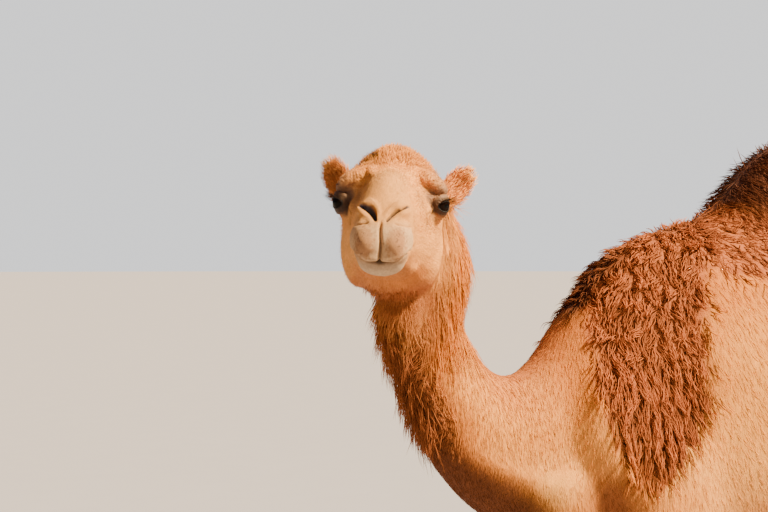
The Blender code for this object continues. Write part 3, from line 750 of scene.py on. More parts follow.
    def paint_eyes(self) -> None:
        """Paint the lids, the brows and the creases round both eyes."""
        f, s, u = self.head.T
        reach = np.abs(s)
        head = self.parts["head"]
        for side in SIDES:
            shape = EyeOpening(side)
            away = self.head - shape.centre
            level = shape.level(*shape.angles(away))
            level += 9.0 * (1.0 - across_front(away, shape))
            distance = lengths(away)
            level += 4.0 * ease(distance, 0.028, 0.050)
            rise = away @ shape.axes[2]
            # Painted shade: the right eye's lids and dark skin are painted darker and wider than
            # the left eye's.
            shaded = 0.15 * side
            above = ease(distance, 0.048, 0.032) * ease(rise, -0.004, 0.006)
            self.paint("lid", 0.60 * head * above)
            upper = head * (0.85 + 0.5 * shaded) * ease(level, 5.0, 2.2)
            self.paint("lid", upper * ease(rise, -0.006, 0.008))
            lower = head * (0.55 + shaded) * ease(level, 4.0, 1.9)
            self.paint("lid", lower * ease(rise, 0.002, -0.008))
            self.paint("dark", head * 0.95 * ease(level, 2.55 + 2.5 * shaded, 1.50))
        pit = bell(apart(f - 0.054, reach - 0.082, u + 0.041), 0.009)
        self.paint("lid", 0.8 * head * pit)
        brow = head * bell(apart(0.6 * f, reach - 0.098, u - 0.040), 0.030)
        brow *= 1.0 - self.parts["ear"]
        self.paint("grey", 0.35 * brow)
        self.paint("lid", (0.22 + 0.30 * ease(s, 0.01, -0.01)) * brow * (1.0 + 0.5 * self.mottle))
        # The fold over each eye is painted lid-brown: the wrinkled skin's own colour and painted
        # shade of the fold.
        fold = bell(u - 0.026, 0.011) * bell(f - 0.005, 0.050) * ease(reach, 0.055, 0.080)
        self.paint("lid", 0.55 * head * fold)
        # Painted shade: the hollow between each eye and the bridge is painted lid-brown, more on
        # the right.
        socket = bell(apart((f - 0.075) * 0.8, reach - 0.072, (u - 0.010) * 0.8), 0.024)
        self.paint("lid", (0.42 + 0.22 * ease(s, -0.01, 0.01)) * head * socket)
        tear = bell(u + 0.020 - 0.9 * (0.054 - f), 0.0045) * bell(f - 0.045, 0.014)
        self.paint("brown", 0.8 * head * tear * ease(reach, 0.06, 0.075))

    def nostril_share(self) -> np.ndarray:
        """Return 1 in the slits of the nostrils and 0 away from them.

        Returns:
            One value for each point.
        """
        along, off = nostril_measures(self.head)
        inside = ease(self.head[:, 0], 0.20, 0.23) * self.parts["head"]
        gape = nostril_gape(along, self.head[:, 1])
        share = ease(off, -0.0036, -0.0020) * ease(off, 0.0036 + gape, 0.0016 + 0.85 * gape)
        return share * ease(along, -0.08, 0.04) * ease(along, 1.08, 0.98) * inside

    def mouth_share(self) -> np.ndarray:
        """Return 1 in the line of the mouth and the cleft of the lip, and 0 elsewhere.

        Returns:
            One value for each point.
        """
        f, s, u = self.head.T
        line = bell(u - mouth_height(self.head), 0.0022 + 0.0026 * bell(s, 0.010))
        line *= ease(f, 0.15, 0.2)
        cleft = bell(s - cleft_side(u), 0.0020) * ease(f, 0.24, 0.27)
        cleft *= ease(u, -0.060, -0.085) * ease(u, -0.114, -0.110) * 0.6
        return np.maximum(line * ease(self.normals[:, 2], 0.9, 0.5), cleft) * self.parts["head"]

    def hair_length(self) -> np.ndarray:
        """Return how long the hair is, as a share of the longest in its piece.

        Returns:
            One value for each point.
        """
        p = self.parts
        f, _, u = self.head.T
        length = 1.0 - 0.55 * p["leg"] - 0.35 * p["muzzle"] - 0.05 * p["ear"]
        length -= 0.62 * p["mane"] * ease(self.body[:, 2], 1.80, 1.90)
        length -= 0.55 * p["head"] * ease(u, -0.03, -0.08)
        face = p["head"] * ease(f, 0.05, 0.20)
        length *= 1.0 - 0.45 * face
        length *= 1.0 - 0.65 * p["head"] * ease(from_eye(self.head), 0.045, 0.03)
        length *= ease(self.body[:, 2], 0.0, 0.06)
        return np.clip(length, 0.15, 1.3)

    def bare(self) -> np.ndarray:
        """Return 1 where no hair grows, such as on the soles and inside the nostrils.

        Returns:
            One value for each point.
        """
        bare = ease(self.body[:, 2], 0.022, 0.008)
        bare = bare + self.nostril_share() * 1.6 + self.mouth_share() * 1.2
        bare += ease(from_eye(self.head), 0.0245, 0.0228)
        bare += bell(lengths(self.body - CHEST_CALLUS), 0.05)
        return np.clip(bare, 0.0, 1.0)


def nostril_measures(head: np.ndarray) -> tuple[np.ndarray, np.ndarray]:
    """Measure points along and across the slanting slit of the nearer nostril.

    Args:
        head: places in the head's measures.

    Returns:
        The share of the slit's length from its inner end, and the distance above it.
    """
    inner = np.array([0.011, -0.036])
    outer = np.array([0.046, -0.009])
    axis = outer - inner
    length = np.linalg.norm(axis)
    axis = axis / length
    flat = np.stack([np.abs(head[:, 1]), head[:, 2]], axis=1) - inner
    along = flat @ axis / length
    bow = 0.0035 * np.sin(np.pi * np.clip(along, 0.0, 1.0))
    return along, flat @ np.array([-axis[1], axis[0]]) - bow


def nostril_gape(along: np.ndarray, s: np.ndarray) -> np.ndarray:
    """Return how far the nostrils stand open: the right one gapes, the left is closed."""
    middle = np.sin(np.pi * np.clip(along, 0.0, 1.0) ** 1.3)
    return (0.0085 * ease(s, -0.005, 0.005) + 0.0006) * np.sqrt(np.maximum(middle, 0.0))


def mouth_height(head: np.ndarray) -> np.ndarray:
    """Return how far up the line of the mouth runs beside each point of the head.

    Args:
        head: places in the head's measures.

    Returns:
        One height in metres for each point.
    """
    f, s, _ = head.T
    rise = 0.020 * ease(np.abs(s), 0.018, 0.060) + 0.012 * ease(f, 0.285, 0.17)
    return -0.1165 + rise


def cleft_side(u: np.ndarray) -> np.ndarray:
    """Return how far to the side the cleft of the upper lip runs at each height."""
    return 0.0012 * np.sin(u * 90.0)


# ---------------------------------------------------------------- the skin
@dataclass
class Skin:
    """One skin over all the flesh, with the folds of the face worked into it."""

    voxel: float = 0.0055    # the grid of the first shell
    growth: float = 0.0010        # how far the solids grow to overlap
    body_share: float = 0.108     # the share of faces that is left off the head
    facets: int = 90              # rounds that even out the frame's facets
    longest: float = 0.042        # the longest edge that is left whole
    keep: float = 1.02            # what evening takes back, so that nothing shrinks
    lid: float = 0.0016           # the lids' thickness
    head_reach: float = 0.29      # how far from the middle the head keeps all its faces
    face_reach: float = 0.25      # how far from the middle the face's are split
    eye_reach: float = 0.035      # how far from the eyes they are split once more
    lid_reach: float = 0.055      # how far from the eyes the lids are shaped
    flesh: tuple = ()

    def __post_init__(self) -> None:
        """List the nodes of flesh: all but the eyes and the nails."""
        self.flesh = tuple(sorted(name for name in frame["nodes"]
                                  if not name.startswith(("eye_", "nail_"))))

    def joined(self) -> bpy.types.Mesh:
        """Join the flesh and the eyeballs, each grown until they overlap.

        Returns:
            One mesh of all their faces.
        """
        whole = bmesh.new()
        for name in self.flesh + ("eye_left", "eye_right"):
            bm = bmesh.new()
            bm.from_mesh(frame["nodes"][name].data)
            bmesh.ops.remove_doubles(bm, verts=bm.verts, dist=1e-5)
            bmesh.ops.recalc_face_normals(bm, faces=bm.faces)
            bm.normal_update()
            moves = [(vertex, vertex.normal * self.growth) for vertex in bm.verts]
            for vertex, move in moves:
                vertex.co += move
            part = as_mesh(bm, name)
            whole.from_mesh(part)
            bpy.data.meshes.remove(part)
        return as_mesh(whole, "flesh")

    def shell(self) -> bpy.types.Mesh:
        """Return one fine shell round the flesh, without the frame's facets.

        Returns:
            A closed mesh of even, small faces.
        """
        source = new_object("shell", self.joined())
        modifier = source.modifiers.new("even", "REMESH")
        modifier.mode = "VOXEL"
        modifier.voxel_size = self.voxel
        mesh = applied(source)
        points = read_points(mesh)
        from_head = lengths(PLACES.head(points) - np.array([0.05, 0.0, -0.02]))
        height = PLACES.body(points)[:, 2]
        strength = 0.5 * ease(from_head, 0.22, 0.34) * (0.25 + 0.75 * ease(height, 0.9, 1.15))
        points = relaxed(mesh, points, self.facets, strength)
        points = relaxed(mesh, points, 10, np.full(len(points), 0.45), keep=self.keep)
        write_points(mesh, points)
        return mesh

    def thinned(self, mesh: bpy.types.Mesh) -> bpy.types.Mesh:
        """Merge faces on the body, and leave the head as fine as it is.

        Args:
            mesh: the shell.

        Returns:
            The mesh with fewer faces.
        """
        source = new_object("thinned", mesh)
        points = read_points(mesh)
        away = lengths(PLACES.head(points) - np.array([0.06, 0.0, -0.03]))
        group = source.vertex_groups.new(name="body")
        group.add(np.nonzero(away > self.head_reach)[0].tolist(), 1.0, "REPLACE")
        modifier = source.modifiers.new("fewer", "DECIMATE")
        modifier.ratio = self.body_share
        modifier.vertex_group = "body"
        return applied(source)

    def refined(self, mesh: bpy.types.Mesh) -> bpy.types.Mesh:
        """Split long edges, the faces of the head, and once more round eyes, nose and mouth.

        Args:
            mesh: the thinned shell.

        Returns:
            The mesh that becomes the skin.
        """
        bm = bmesh.new()
        bm.from_mesh(mesh)
        for _ in range(2):
            self.split(bm, [edge for edge in bm.edges if edge.calc_length() > self.longest])
        for level in range(2):
            bm.verts.index_update()
            points = np.array([vertex.co for vertex in bm.verts])
            wanted = self.wants_split(PLACES.head(points), level)
            edges = [edge for edge in bm.edges
                     if wanted[edge.verts[0].index] and wanted[edge.verts[1].index]]
            self.split(bm, edges, fill=True)
        return as_mesh(bm, "skin")

    @staticmethod
    def split(bm: bmesh.types.BMesh, edges: list, fill: bool = False) -> None:
        """Halve edges, and cut the faces beside them into triangles."""
        bmesh.ops.subdivide_edges(bm, edges=edges, cuts=1, use_grid_fill=fill)
        bmesh.ops.triangulate(bm, faces=[face for face in bm.faces if len(face.verts) > 3])

    def wants_split(self, head: np.ndarray, level: int) -> np.ndarray:
        """Say which points lie where the skin is split at the given level.

        Args:
            head: places in the head's measures.
            level: 0 for the face, and 1 for the eyes, nose and mouth.

        Returns:
            True or false for each point.
        """
        f, _, u = head.T
        if level == 0:
            return (from_middle(head) < self.face_reach) & (f > -0.04)
        nose = (f > 0.220) & (u < 0.008) & (u > -0.132)
        return nose | (from_eye(head) < self.eye_reach)

    def carve(self, mesh: bpy.types.Mesh) -> np.ndarray:
        """Work the nostrils, lips, brows and eyelids into the head.

        Args:
            mesh: the skin.

        Returns:
            The places of its vertices before the folds were made.
        """
        points = read_points(mesh)
        head = PLACES.head(points)
        on_head = ease(from_middle(head), 0.30, 0.24)
        points = relaxed(mesh, points, 4, 0.5 * on_head, keep=self.keep)
        write_points(mesh, points)
        normals = read_normals(mesh) @ PLACES.head_axes.T
        head = PLACES.head(points)
        moved = head + normals * (self.folds(head, normals) * on_head)[:, None]
        for side in SIDES:
            moved = self.lids(moved, side)
        change = (moved - head) @ PLACES.head_axes
        write_points(mesh, points + change)
        return points

    @staticmethod
    def folds(head: np.ndarray, normals: np.ndarray) -> np.ndarray:
        """Return how far the skin of the face stands out, below 0 in its folds.

        Args:
            head: places in the head's measures.
            normals: the normals there.

        Returns:
            One height in metres for each point.
        """
        f, s, u = head.T
        reach = np.abs(s)
        front = ease(f, 0.215, 0.245)
        along, off = nostril_measures(head)
        window = ease(along, -0.12, 0.12) * ease(along, 1.12, 0.88)
        gape = nostril_gape(along, s)
        slit = ease(off, -0.0042, -0.0004) * ease(off, 0.0042 + gape, 0.0004 + 0.55 * gape)
        height = -0.015 * slit * window * front
        rim = ease(along, -0.12, 0.25) * ease(along, 1.05, 0.60) * front
        height += 0.0035 * bell(off - 0.0105 - 0.7 * gape, 0.0050) * rim
        height += 0.0028 * bell(off + 0.0100, 0.0050) * rim
        crease = bell(u + 0.044 + 0.15 * (reach - 0.03), 0.0018) * ease(reach, 0.02, 0.03)
        height -= 0.003 * crease * ease(reach, 0.058, 0.05) * front
        cleft = bell(s - cleft_side(u), 0.0030) * ease(f, 0.24, 0.265)
        height -= 0.0085 * cleft * ease(u, -0.034, -0.05) * ease(u, -0.120, -0.114)
        above = ease(u, -0.118, -0.112)
        height += 0.0075 * bell(reach - 0.027, 0.018) * front * bell(u + 0.084, 0.022) * above
        height -= 0.0030 * bell(reach - 0.056, 0.012) * ease(f, 0.20, 0.24) * bell(u + 0.085, 0.030)
        gap = u - mouth_height(head)
        side_on = ease(f, 0.15, 0.20) * ease(normals[:, 2], 0.95, 0.6)
        height -= (0.0075 + 0.004 * bell(s, 0.014)) * bell(gap, 0.0030) * side_on
        height += 0.0040 * bell(gap - 0.008, 0.006) * side_on * ease(reach, 0.062, 0.040)
        height -= 0.0015 * bell(gap + 0.006, 0.005) * side_on
        brow_at = np.interp(reach, (0.040, 0.075, 0.100, 0.120), (0.066, 0.055, 0.038, 0.034))
        over = u - brow_at
        reached = ease(reach, 0.022, 0.045) * ease(f, -0.075, -0.035) * ease(f, 0.12, 0.07)
        height += 0.0105 * bell(over, 0.0115) * reached * ease(reach, 0.124, 0.082)
        height -= 0.0055 * bell(over + 0.021, 0.0085) * reached * ease(reach, 0.105, 0.085)
        height -= 0.0022 * bell(over - 0.020, 0.007) * reached
        ripple = np.sin(reach * 640.0 + 9.0 * value_noise(head, 0.03, 41) + u * 60.0)
        height += 0.0009 * bell(over + 0.003, 0.015) * reached * ripple
        ridge = bell(reach, 0.030) * ease(f, 0.05, 0.11) * ease(f, 0.28, 0.22)
        height += 0.0035 * (ridge * ease(u, -0.03, 0.01))
        height -= 0.0045 * bell(apart(f - 0.054, reach - 0.080, u + 0.041), 0.0065)
        tear = u + 0.020 - 0.9 * (0.054 - f)
        height -= 0.002 * bell(tear, 0.003) * bell(f - 0.045, 0.014) * ease(reach, 0.06, 0.075)
        jowl = from_jowl(head)
        fleshy = ease(f, 0.02, 0.06) * ease(u, -0.105, -0.125) * ease(f, 0.215, 0.19)
        height += 0.0090 * bell(jowl, 0.026) * fleshy
        height -= 0.0090 * bell(jowl - 0.040, 0.007) * fleshy * ease(u, -0.148, -0.168)
        hollow = apart((f - 0.12) * 0.6, reach - 0.062, u - 0.012)
        height -= 0.0070 * bell(hollow, 0.026)
        return height

    def lids(self, head: np.ndarray, side: float) -> np.ndarray:
        """Open the eyelids of one eye over the eyeball.

        Args:
            head: places in the head's measures.
            side: -1 for the left eye and 1 for the right one.

        Returns:
            The new places.
        """
        shape = EyeOpening(side)
        away = head - shape.centre
        distance = lengths(away)
        near = distance < self.lid_reach
        across, rise = shape.angles(away[near])
        level = shape.level(across, rise)
        radius = distance[near]
        covered = PLACES.eye_radius + self.lid
        natural = np.maximum(radius, covered + 0.0015)
        outside = covered + (natural - covered) * ease(level, 1.05, 2.1)
        fold = 0.0024 * bell(level - 2.1, 0.55) * ease(rise, 0.0, 0.35)
        fold += 0.0022 * bell(level - 2.1, 0.45) * ease(rise, -0.05, -0.35)
        crease = 0.0034 * bell(level - 2.95, 0.24) * ease(rise, 0.05, 0.3)
        wrinkle = 0.0010 * np.sin(level * 19.0) * ease(level, 1.5, 2.2) * ease(level, 4.5, 3.0)
        outside = outside + fold - crease + wrinkle
        inside = PLACES.eye_radius - 0.004
        wanted = np.where(level < 1.0, inside, outside)
        wanted = np.where(across_front(away[near], shape), wanted, radius)
        result = head.copy()
        result[near] = shape.centre + away[near] * (wanted / np.maximum(radius, 1e-6))[:, None]
        return result

    @staticmethod
    def off_head(points: np.ndarray) -> np.ndarray:
        """Return 1 at points of the body and 0 at points of the head."""
        return ease(from_middle(PLACES.head(points)), 0.26, 0.32)

    def even_normals(self, mesh: bpy.types.Mesh) -> np.ndarray:
        """Return a mesh's normals, evened on the body, where a needle-thin face can turn one."""
        return unit(relaxed(mesh, read_normals(mesh), 3, self.off_head(read_points(mesh))))

    def build(self) -> bpy.types.Object:
        """Make the skin, with the measures of its coat stored on it.

        Returns:
            The skin's object.
        """
        mesh = self.thinned(self.shell())
        mesh = self.refined(mesh)
        points = read_points(mesh)
        points = relaxed(mesh, points, 4, 0.45 * self.off_head(points), keep=self.keep)
        write_points(mesh, points)
        coat = Coat(points, self.even_normals(mesh))
        points = points - coat.normals * (coat.depth() + self.growth)[:, None]
        points[:, 2] = np.maximum(points[:, 2], 0.0)
        write_points(mesh, points)
        smooth = self.carve(mesh)
        drop_attributes(mesh)
        self.store(mesh, smooth)
        made = new_object("skin", mesh)
        self.unwrap(made)
        return made

    def store(self, mesh: bpy.types.Mesh, smooth: np.ndarray) -> None:
        """Store the coat's lie, colour and growth on the skin.

        Args:
            mesh: the skin.
            smooth: the places of its vertices before the folds were made.
        """
        coat = Coat(smooth, self.even_normals(mesh))
        bare = coat.bare()
        measures = {"lie": coat.lie(), "out": coat.normals, "hair_length": coat.hair_length(),
                    "coat_colour": coat.colour(), "bare": bare, "grain": self.grain(coat)}
        for patch in COAT_PIECES:
            share = np.clip(patch.where(coat), 0.0, 1.0)
            measures[f"grows_{patch.name}"] = share * (1.0 - bare)
        for name, values in measures.items():
            write_values(mesh, name, values)

    @staticmethod
    def grain(coat: Coat) -> np.ndarray:
        """Return places for a pattern that is drawn out along the hair.

        Args:
            coat: the coat's measures.

        Returns:
            One row for each point.
        """
        stretch = 0.12
        body = coat.points.copy()
        body[:, 2] *= stretch
        from_nose = coat.head - NOSE
        face = unit(from_nose) * 0.16 + 3.0
        face[:, 0] += lengths(from_nose) * stretch
        return body + coat.parts["head"][:, None] * (face - body)

    @staticmethod
    def unwrap(made: bpy.types.Object) -> None:
        """Unwrap the skin's own shape, for the places of the hairs' roots.

        Args:
            made: the skin's object.
        """
        bpy.context.view_layer.objects.active = made
        made.select_set(True)
        bpy.ops.object.mode_set(mode="EDIT")
        bpy.ops.mesh.select_all(action="SELECT")
        bpy.ops.uv.smart_project(angle_limit=math.radians(75.0), island_margin=0.002)
        bpy.ops.object.mode_set(mode="OBJECT")
        made.select_set(False)
        made.data.uv_layers[0].name = "OFBake"


@dataclass(frozen=True)
class EyeOpening:
    """The almond opening between one eye's lids, as angles from where the eye looks."""

    side: float
    half_width: float = math.radians(54.0)
    half_above: float = math.radians(26.0)
    half_below: float = math.radians(32.0)
    gaze: tuple[float, float, float] = (0.60, 0.79, -0.06)    # ahead, out and up
    tilt: float = 0.10

    @property
    def centre(self) -> np.ndarray:
        """The eyeball's centre in the head's measures."""
        return PLACES.eye_centre(self.side)

    @property
    def axes(self) -> np.ndarray:
        """The eye's own axes in the head's measures.

        Returns:
            Rows: where the eye looks, its level line to the front, and its upright.
        """
        gaze = np.array(self.gaze) * [1.0, self.side, 1.0]
        gaze = gaze / np.linalg.norm(gaze)
        tilt = np.array([self.tilt, 0.0, 1.0])
        level = np.cross(tilt, gaze) * -self.side
        level = level / np.linalg.norm(level)
        upright = np.cross(gaze, level) * -self.side
        return np.array([gaze, level, upright])

    def angles(self, away: np.ndarray) -> tuple[np.ndarray, np.ndarray]:
        """Return the angles forward and up, for offsets from the eyeball's centre.

        Args:
            away: the offsets, one row each.

        Returns:
            Both angles of each offset.
        """
        gaze, level, upright = (away @ axis for axis in self.axes)
        distance = np.maximum(lengths(away), 1e-6)
        return np.arctan2(level, gaze), np.arcsin(np.clip(upright / distance, -1.0, 1.0))

    def level(self, across: np.ndarray, rise: np.ndarray) -> np.ndarray:
        """Return how far out points lie: 1 on the lids' edge and less in the opening."""
        half = np.where(rise > 0.0, self.half_above, self.half_below)
        return np.sqrt((across / self.half_width) ** 2 + (rise / half) ** 2)

    def edge(self, turn: np.ndarray, radius: float) -> np.ndarray:
        """Return points on the lids' edge, in the head's measures.

        Args:
            turn: angles round the opening, from its front corner over the top.
            radius: how far from the eyeball's centre they lie.

        Returns:
            One row for each point.
        """
        across = self.half_width * np.cos(turn)
        rise = np.where(np.sin(turn) > 0.0, self.half_above, self.half_below) * np.sin(turn)
        gaze, level, upright = self.axes
        flat = np.cos(rise)[:, None] * (np.cos(across)[:, None] * gaze
                                        + np.sin(across)[:, None] * level)
        return self.centre + radius * (flat + np.sin(rise)[:, None] * upright)


def across_front(away: np.ndarray, shape: EyeOpening) -> np.ndarray:
    """Say which offsets from an eyeball's centre lie on the side that it looks to."""
    return away @ shape.axes[0] > -0.2 * lengths(away)


# ---------------------------------------------------------------- locks of hair
@dataclass(frozen=True)
class Lock:
    """The shape of one lock of hair, for a length of 1.

    Its sizes are shares of its length: width, thickness, how far it arches out, how
    far and how often it waves, and how far its tip hooks back to the skin.
    """

    CORNERS = 3    # of its cross-section

    joints: int = 3
    width: float = 0.08
    thickness: float = 0.05
    arch: float = 0.10
    wave: float = 0.0
    turns: float = 0.0
    hook: float = 0.0

    def mesh(self, name: str, variant: int) -> bpy.types.Mesh:
        """Make one variant of the lock: z runs to its tip and x away from the skin.

        Args:
            name: the mesh's name.
            variant: which of the variants, from 0.

        Returns:
            A closed mesh with the share of its length stored on each vertex.
        """
        share = np.linspace(0.0, 1.0, self.joints + 1)
        phase = 2.0 * math.pi * variant / 3.0 + 0.4
        turn = 2.0 * math.pi * self.turns * (1.0 + 0.15 * (variant - 1)) * share + phase
        sway = self.wave * np.minimum(1.0, 1.8 * share)
        x = self.arch * np.sin(math.pi * 0.8 * share) - self.hook * share ** 3
        x = x + sway * (np.cos(turn) - math.cos(phase))
        y = sway * (np.sin(turn) - math.sin(phase)) + 0.05 * (variant - 1) * share ** 2
        z = share - 0.05 * (1.0 - share)
        path = np.stack([x, y, z], axis=1)
        along = unit(np.gradient(path, axis=0))
        outward = unit(np.array([1.0, 0.0, 0.0]) - along * along[:, :1])
        across = np.cross(along, outward)
        swell = (0.55 + 0.45 * np.minimum(1.0, share / 0.3)) * (1.0 - share ** 2.2)
        points, leaf, shares = [], [], []
        for index in range(self.joints):
            for angle in 2.0 * math.pi * (np.arange(self.CORNERS) / self.CORNERS + 0.25):
                thick = 0.5 * self.thickness * math.sin(angle) * swell[index]
                wide = 0.5 * self.width * math.cos(angle) * swell[index]
                points.append(path[index] + outward[index] * thick + across[index] * wide)
                reach = 0.5 * (1.0 - 0.8 * share[index])
                leaf.append((reach * math.cos(angle), reach * math.sin(angle), 0.0))
                shares.append(share[index])
        points.append(path[-1])
        leaf.append((0.0, 0.0, 0.0))
        shares.append(1.0)
        faces = [(0, 2, 1)]
        for index in range(self.joints - 1):
            base = self.CORNERS * index
            above = base + self.CORNERS
            for edge in range(self.CORNERS):
                after = (edge + 1) % self.CORNERS
                faces.append((base + edge, base + after, above + after, above + edge))
        base = self.CORNERS * (self.joints - 1)
        tip = len(points) - 1
        faces += [(base + edge, base + (edge + 1) % self.CORNERS, tip)
                  for edge in range(self.CORNERS)]
        mesh = mesh_of(name, points, faces)
        mesh.shade_smooth()
        write_values(mesh, "along", np.array(shares))
        write_values(mesh, "leaf", np.array(leaf))
        return mesh

    @property
    def triangles(self) -> int:
        """How many triangles one lock has."""
        return 6 * self.joints - 2


class LockTree(Nodes):
    """The Geometry Nodes tree that grows locks of hair on a skin."""

    INPUTS = {
        "Locks": "Collection", "Grows": "String", "Density": "Float", "Length": "Float",
        "Length Spread": "Float", "Lift": "Float", "Tousle": "Float", "Clump Size": "Float",
        "Clumping": "Float", "Clump Sway": "Float", "Patch": "Float", "Seed": "Int",
        "Material": "Material",
    }

    SPREAD_SEED = 3          # added to the seed for each thing that is picked at random
    TONE_SEED = 5
    SHAKE_SEED = 10
    CLUMP_TONE = 0.55        # how much of a lock's tone it shares with its clump
    LEAST_RISE = 0.06        # how far a lock at least points away from the skin

    def __init__(self) -> None:
        """Build the tree once for all the coat's pieces."""
        self.tree = bpy.data.node_groups.new("locks_of_hair", "GeometryNodeTree")
        face = self.tree.interface
        face.new_socket("Geometry", in_out="INPUT", socket_type="NodeSocketGeometry")
        for name, kind in self.INPUTS.items():
            face.new_socket(name, in_out="INPUT", socket_type=f"NodeSocket{kind}")
        face.new_socket("Geometry", in_out="OUTPUT", socket_type="NodeSocketGeometry")
        self.given = add_node(self.tree, "NodeGroupInput").outputs
        points = self.scatter()
        self.finish(self.instance(points))

    def stored(self, name: object, kind: str = "FLOAT_VECTOR") -> bpy.types.NodeSocket:
        """Return the values stored under a name."""
        return self.node("GeometryNodeInputNamedAttribute", {"Name": name}, "Attribute",
                         data_type=kind)

    def vector(self, operation: str, first: object, second: object = None,
               scale: object = None) -> bpy.types.NodeSocket:
        """Return the result of vector arithmetic on one or two values.

        Args:
            operation: the node's operation.
            first: the first value or socket.
            second: the second one, if the operation takes it.
            scale: the factor, for SCALE.

        Returns:
            The socket with the result.
        """
        inputs = {name: value for name, value in ((0, first), (1, second), ("Scale", scale))
                  if value is not None}
        return self.node("ShaderNodeVectorMath", inputs,
                         "Value" if operation == "DOT_PRODUCT" else "Vector", operation=operation)

    def maths(self, operation: str, first: object, second: object) -> bpy.types.NodeSocket:
        """Return the result of arithmetic on two numbers."""
        return self.node("ShaderNodeMath", {0: first, 1: second}, operation=operation)

    def random(self, low: float, high: float, offset: int) -> bpy.types.NodeSocket:
        """Return a random number for each lock, different for each offset.

        Args:
            low: the lowest.
            high: the highest.
            offset: is added to the seed.

        Returns:
            The socket with the number.
        """
        seed = self.maths("ADD", self.given["Seed"], float(offset))
        return self.node("FunctionNodeRandomValue", {2: low, 3: high, "Seed": seed}, 1,
                         data_type="FLOAT")

    def scatter(self) -> bpy.types.NodeSocket:
        """Scatter the roots where the hair grows, and tint each one.

        Returns:
            The roots.
        """
        grows = self.stored(self.given["Grows"], "FLOAT")
        density = self.maths("MULTIPLY", grows, self.given["Density"])
        roots = self.node("GeometryNodeDistributePointsOnFaces",
                          {"Mesh": self.given["Geometry"], "Density": density,
                           "Seed": self.given["Seed"]}, "Points", distribute_method="RANDOM")
        self.place = self.node("GeometryNodeInputPosition")
        scale = self.maths("DIVIDE", 1.0, self.given["Clump Size"])
        self.cells = add_node(self.tree, "ShaderNodeTexVoronoi",
                              {"Vector": self.place, "Scale": scale},
                              feature="F1", voronoi_dimensions="3D").outputs
        cell_tone = self.node("ShaderNodeSeparateXYZ", {0: self.cells["Color"]}, 2)
        tone = self.maths("ADD", self.maths("MULTIPLY", cell_tone, self.CLUMP_TONE),
                          self.random(0.0, 1.0 - self.CLUMP_TONE, self.TONE_SEED))
        return self.node("GeometryNodeStoreNamedAttribute",
                         {"Geometry": roots, "Name": "tone", "Value": tone}, "Geometry",
                         data_type="FLOAT", domain="POINT")

    def heading(self) -> bpy.types.NodeSocket:
        """Return where each lock points: along the lie, lifted, clumped and tousled.

        Returns:
            The socket with the direction, of length 1.
        """
        out = self.stored("out")
        towards = self.vector("SUBTRACT", self.cells["Position"], self.place)
        rise = self.vector("DOT_PRODUCT", towards, out)
        towards = self.vector("SUBTRACT", towards, self.vector("SCALE", out, scale=rise))
        pull = self.maths("DIVIDE", self.given["Clumping"], self.given["Length"])
        towards = self.vector("SCALE", towards, scale=pull)
        sway = self.vector("SUBTRACT", self.cells["Color"], (0.5, 0.5, 0.5))
        sway = self.vector("SCALE", sway, scale=self.given["Clump Sway"])
        shake = self.node("ShaderNodeCombineXYZ",
                          {axis: self.random(-1.0, 1.0, self.SHAKE_SEED + axis)
                           for axis in range(3)})
        shake = self.vector("SCALE", shake, scale=self.given["Tousle"])
        lift = self.vector("SCALE", out, scale=self.given["Lift"])
        way = self.stored("lie")
        for part in (lift, towards, sway, shake):
            way = self.vector("ADD", way, part)
        inward = self.vector("DOT_PRODUCT", way, out)
        short = self.maths("MAXIMUM", self.maths("SUBTRACT", self.LEAST_RISE, inward), 0.0)
        way = self.vector("ADD", way, self.vector("SCALE", out, scale=short))
        return self.vector("NORMALIZE", way)

    def instance(self, points: bpy.types.NodeSocket) -> bpy.types.NodeSocket:
        """Put a lock on each root and realize them all.

        Args:
            points: the roots.

        Returns:
            The locks' geometry.
        """
        kinds = self.node("GeometryNodeCollectionInfo",
                          {"Collection": self.given["Locks"], "Separate Children": True,
                           "Reset Children": True})
        rotation = self.node("FunctionNodeAlignRotationToVector", {"Vector": self.heading()},
                             axis="Z")
        rotation = self.node("FunctionNodeAlignRotationToVector",
                             {"Rotation": rotation, "Vector": self.stored("out")},
                             axis="X", pivot_axis="Z")
        spread = self.maths("MULTIPLY", self.random(-1.0, 1.0, self.SPREAD_SEED),
                            self.given["Length Spread"])
        spread = self.maths("ADD", spread, 1.0)
        size = self.maths("MULTIPLY", self.stored("hair_length", "FLOAT"), self.given["Length"])
        size = self.maths("MULTIPLY", size, spread)
        placed = self.node("GeometryNodeInstanceOnPoints",
                           {"Points": points, "Instance": kinds, "Pick Instance": True,
                            "Rotation": rotation, "Scale": size})
        return self.node("GeometryNodeRealizeInstances", {"Geometry": placed})

    def finish(self, realized: bpy.types.NodeSocket) -> None:
        """Give each lock its patch of the skin's unwrap, and the material.

        Args:
            realized: the locks' geometry.
        """
        leaf = self.vector("SCALE", self.stored("leaf"), scale=self.given["Patch"])
        place = self.vector("ADD", self.stored("OFBake"), leaf)
        mapped = self.node("GeometryNodeStoreNamedAttribute",
                           {"Geometry": realized, "Name": "OFBake", "Value": place}, "Geometry",
                           data_type="FLOAT2", domain="CORNER")
        dressed = self.node("GeometryNodeSetMaterial",
                            {"Geometry": mapped, "Material": self.given["Material"]})
        add_node(self.tree, "NodeGroupOutput", {"Geometry": dressed})

    def set_on(self, modifier: bpy.types.Modifier, values: dict) -> None:
        """Set a modifier's inputs by their names.

        Args:
            modifier: the modifier, which gets this tree.
            values: a value for each name.
        """
        modifier.node_group = self.tree
        for item in self.tree.interface.items_tree:
            if item.in_out == "INPUT" and item.name in values:
                modifier[item.identifier] = values[item.name]


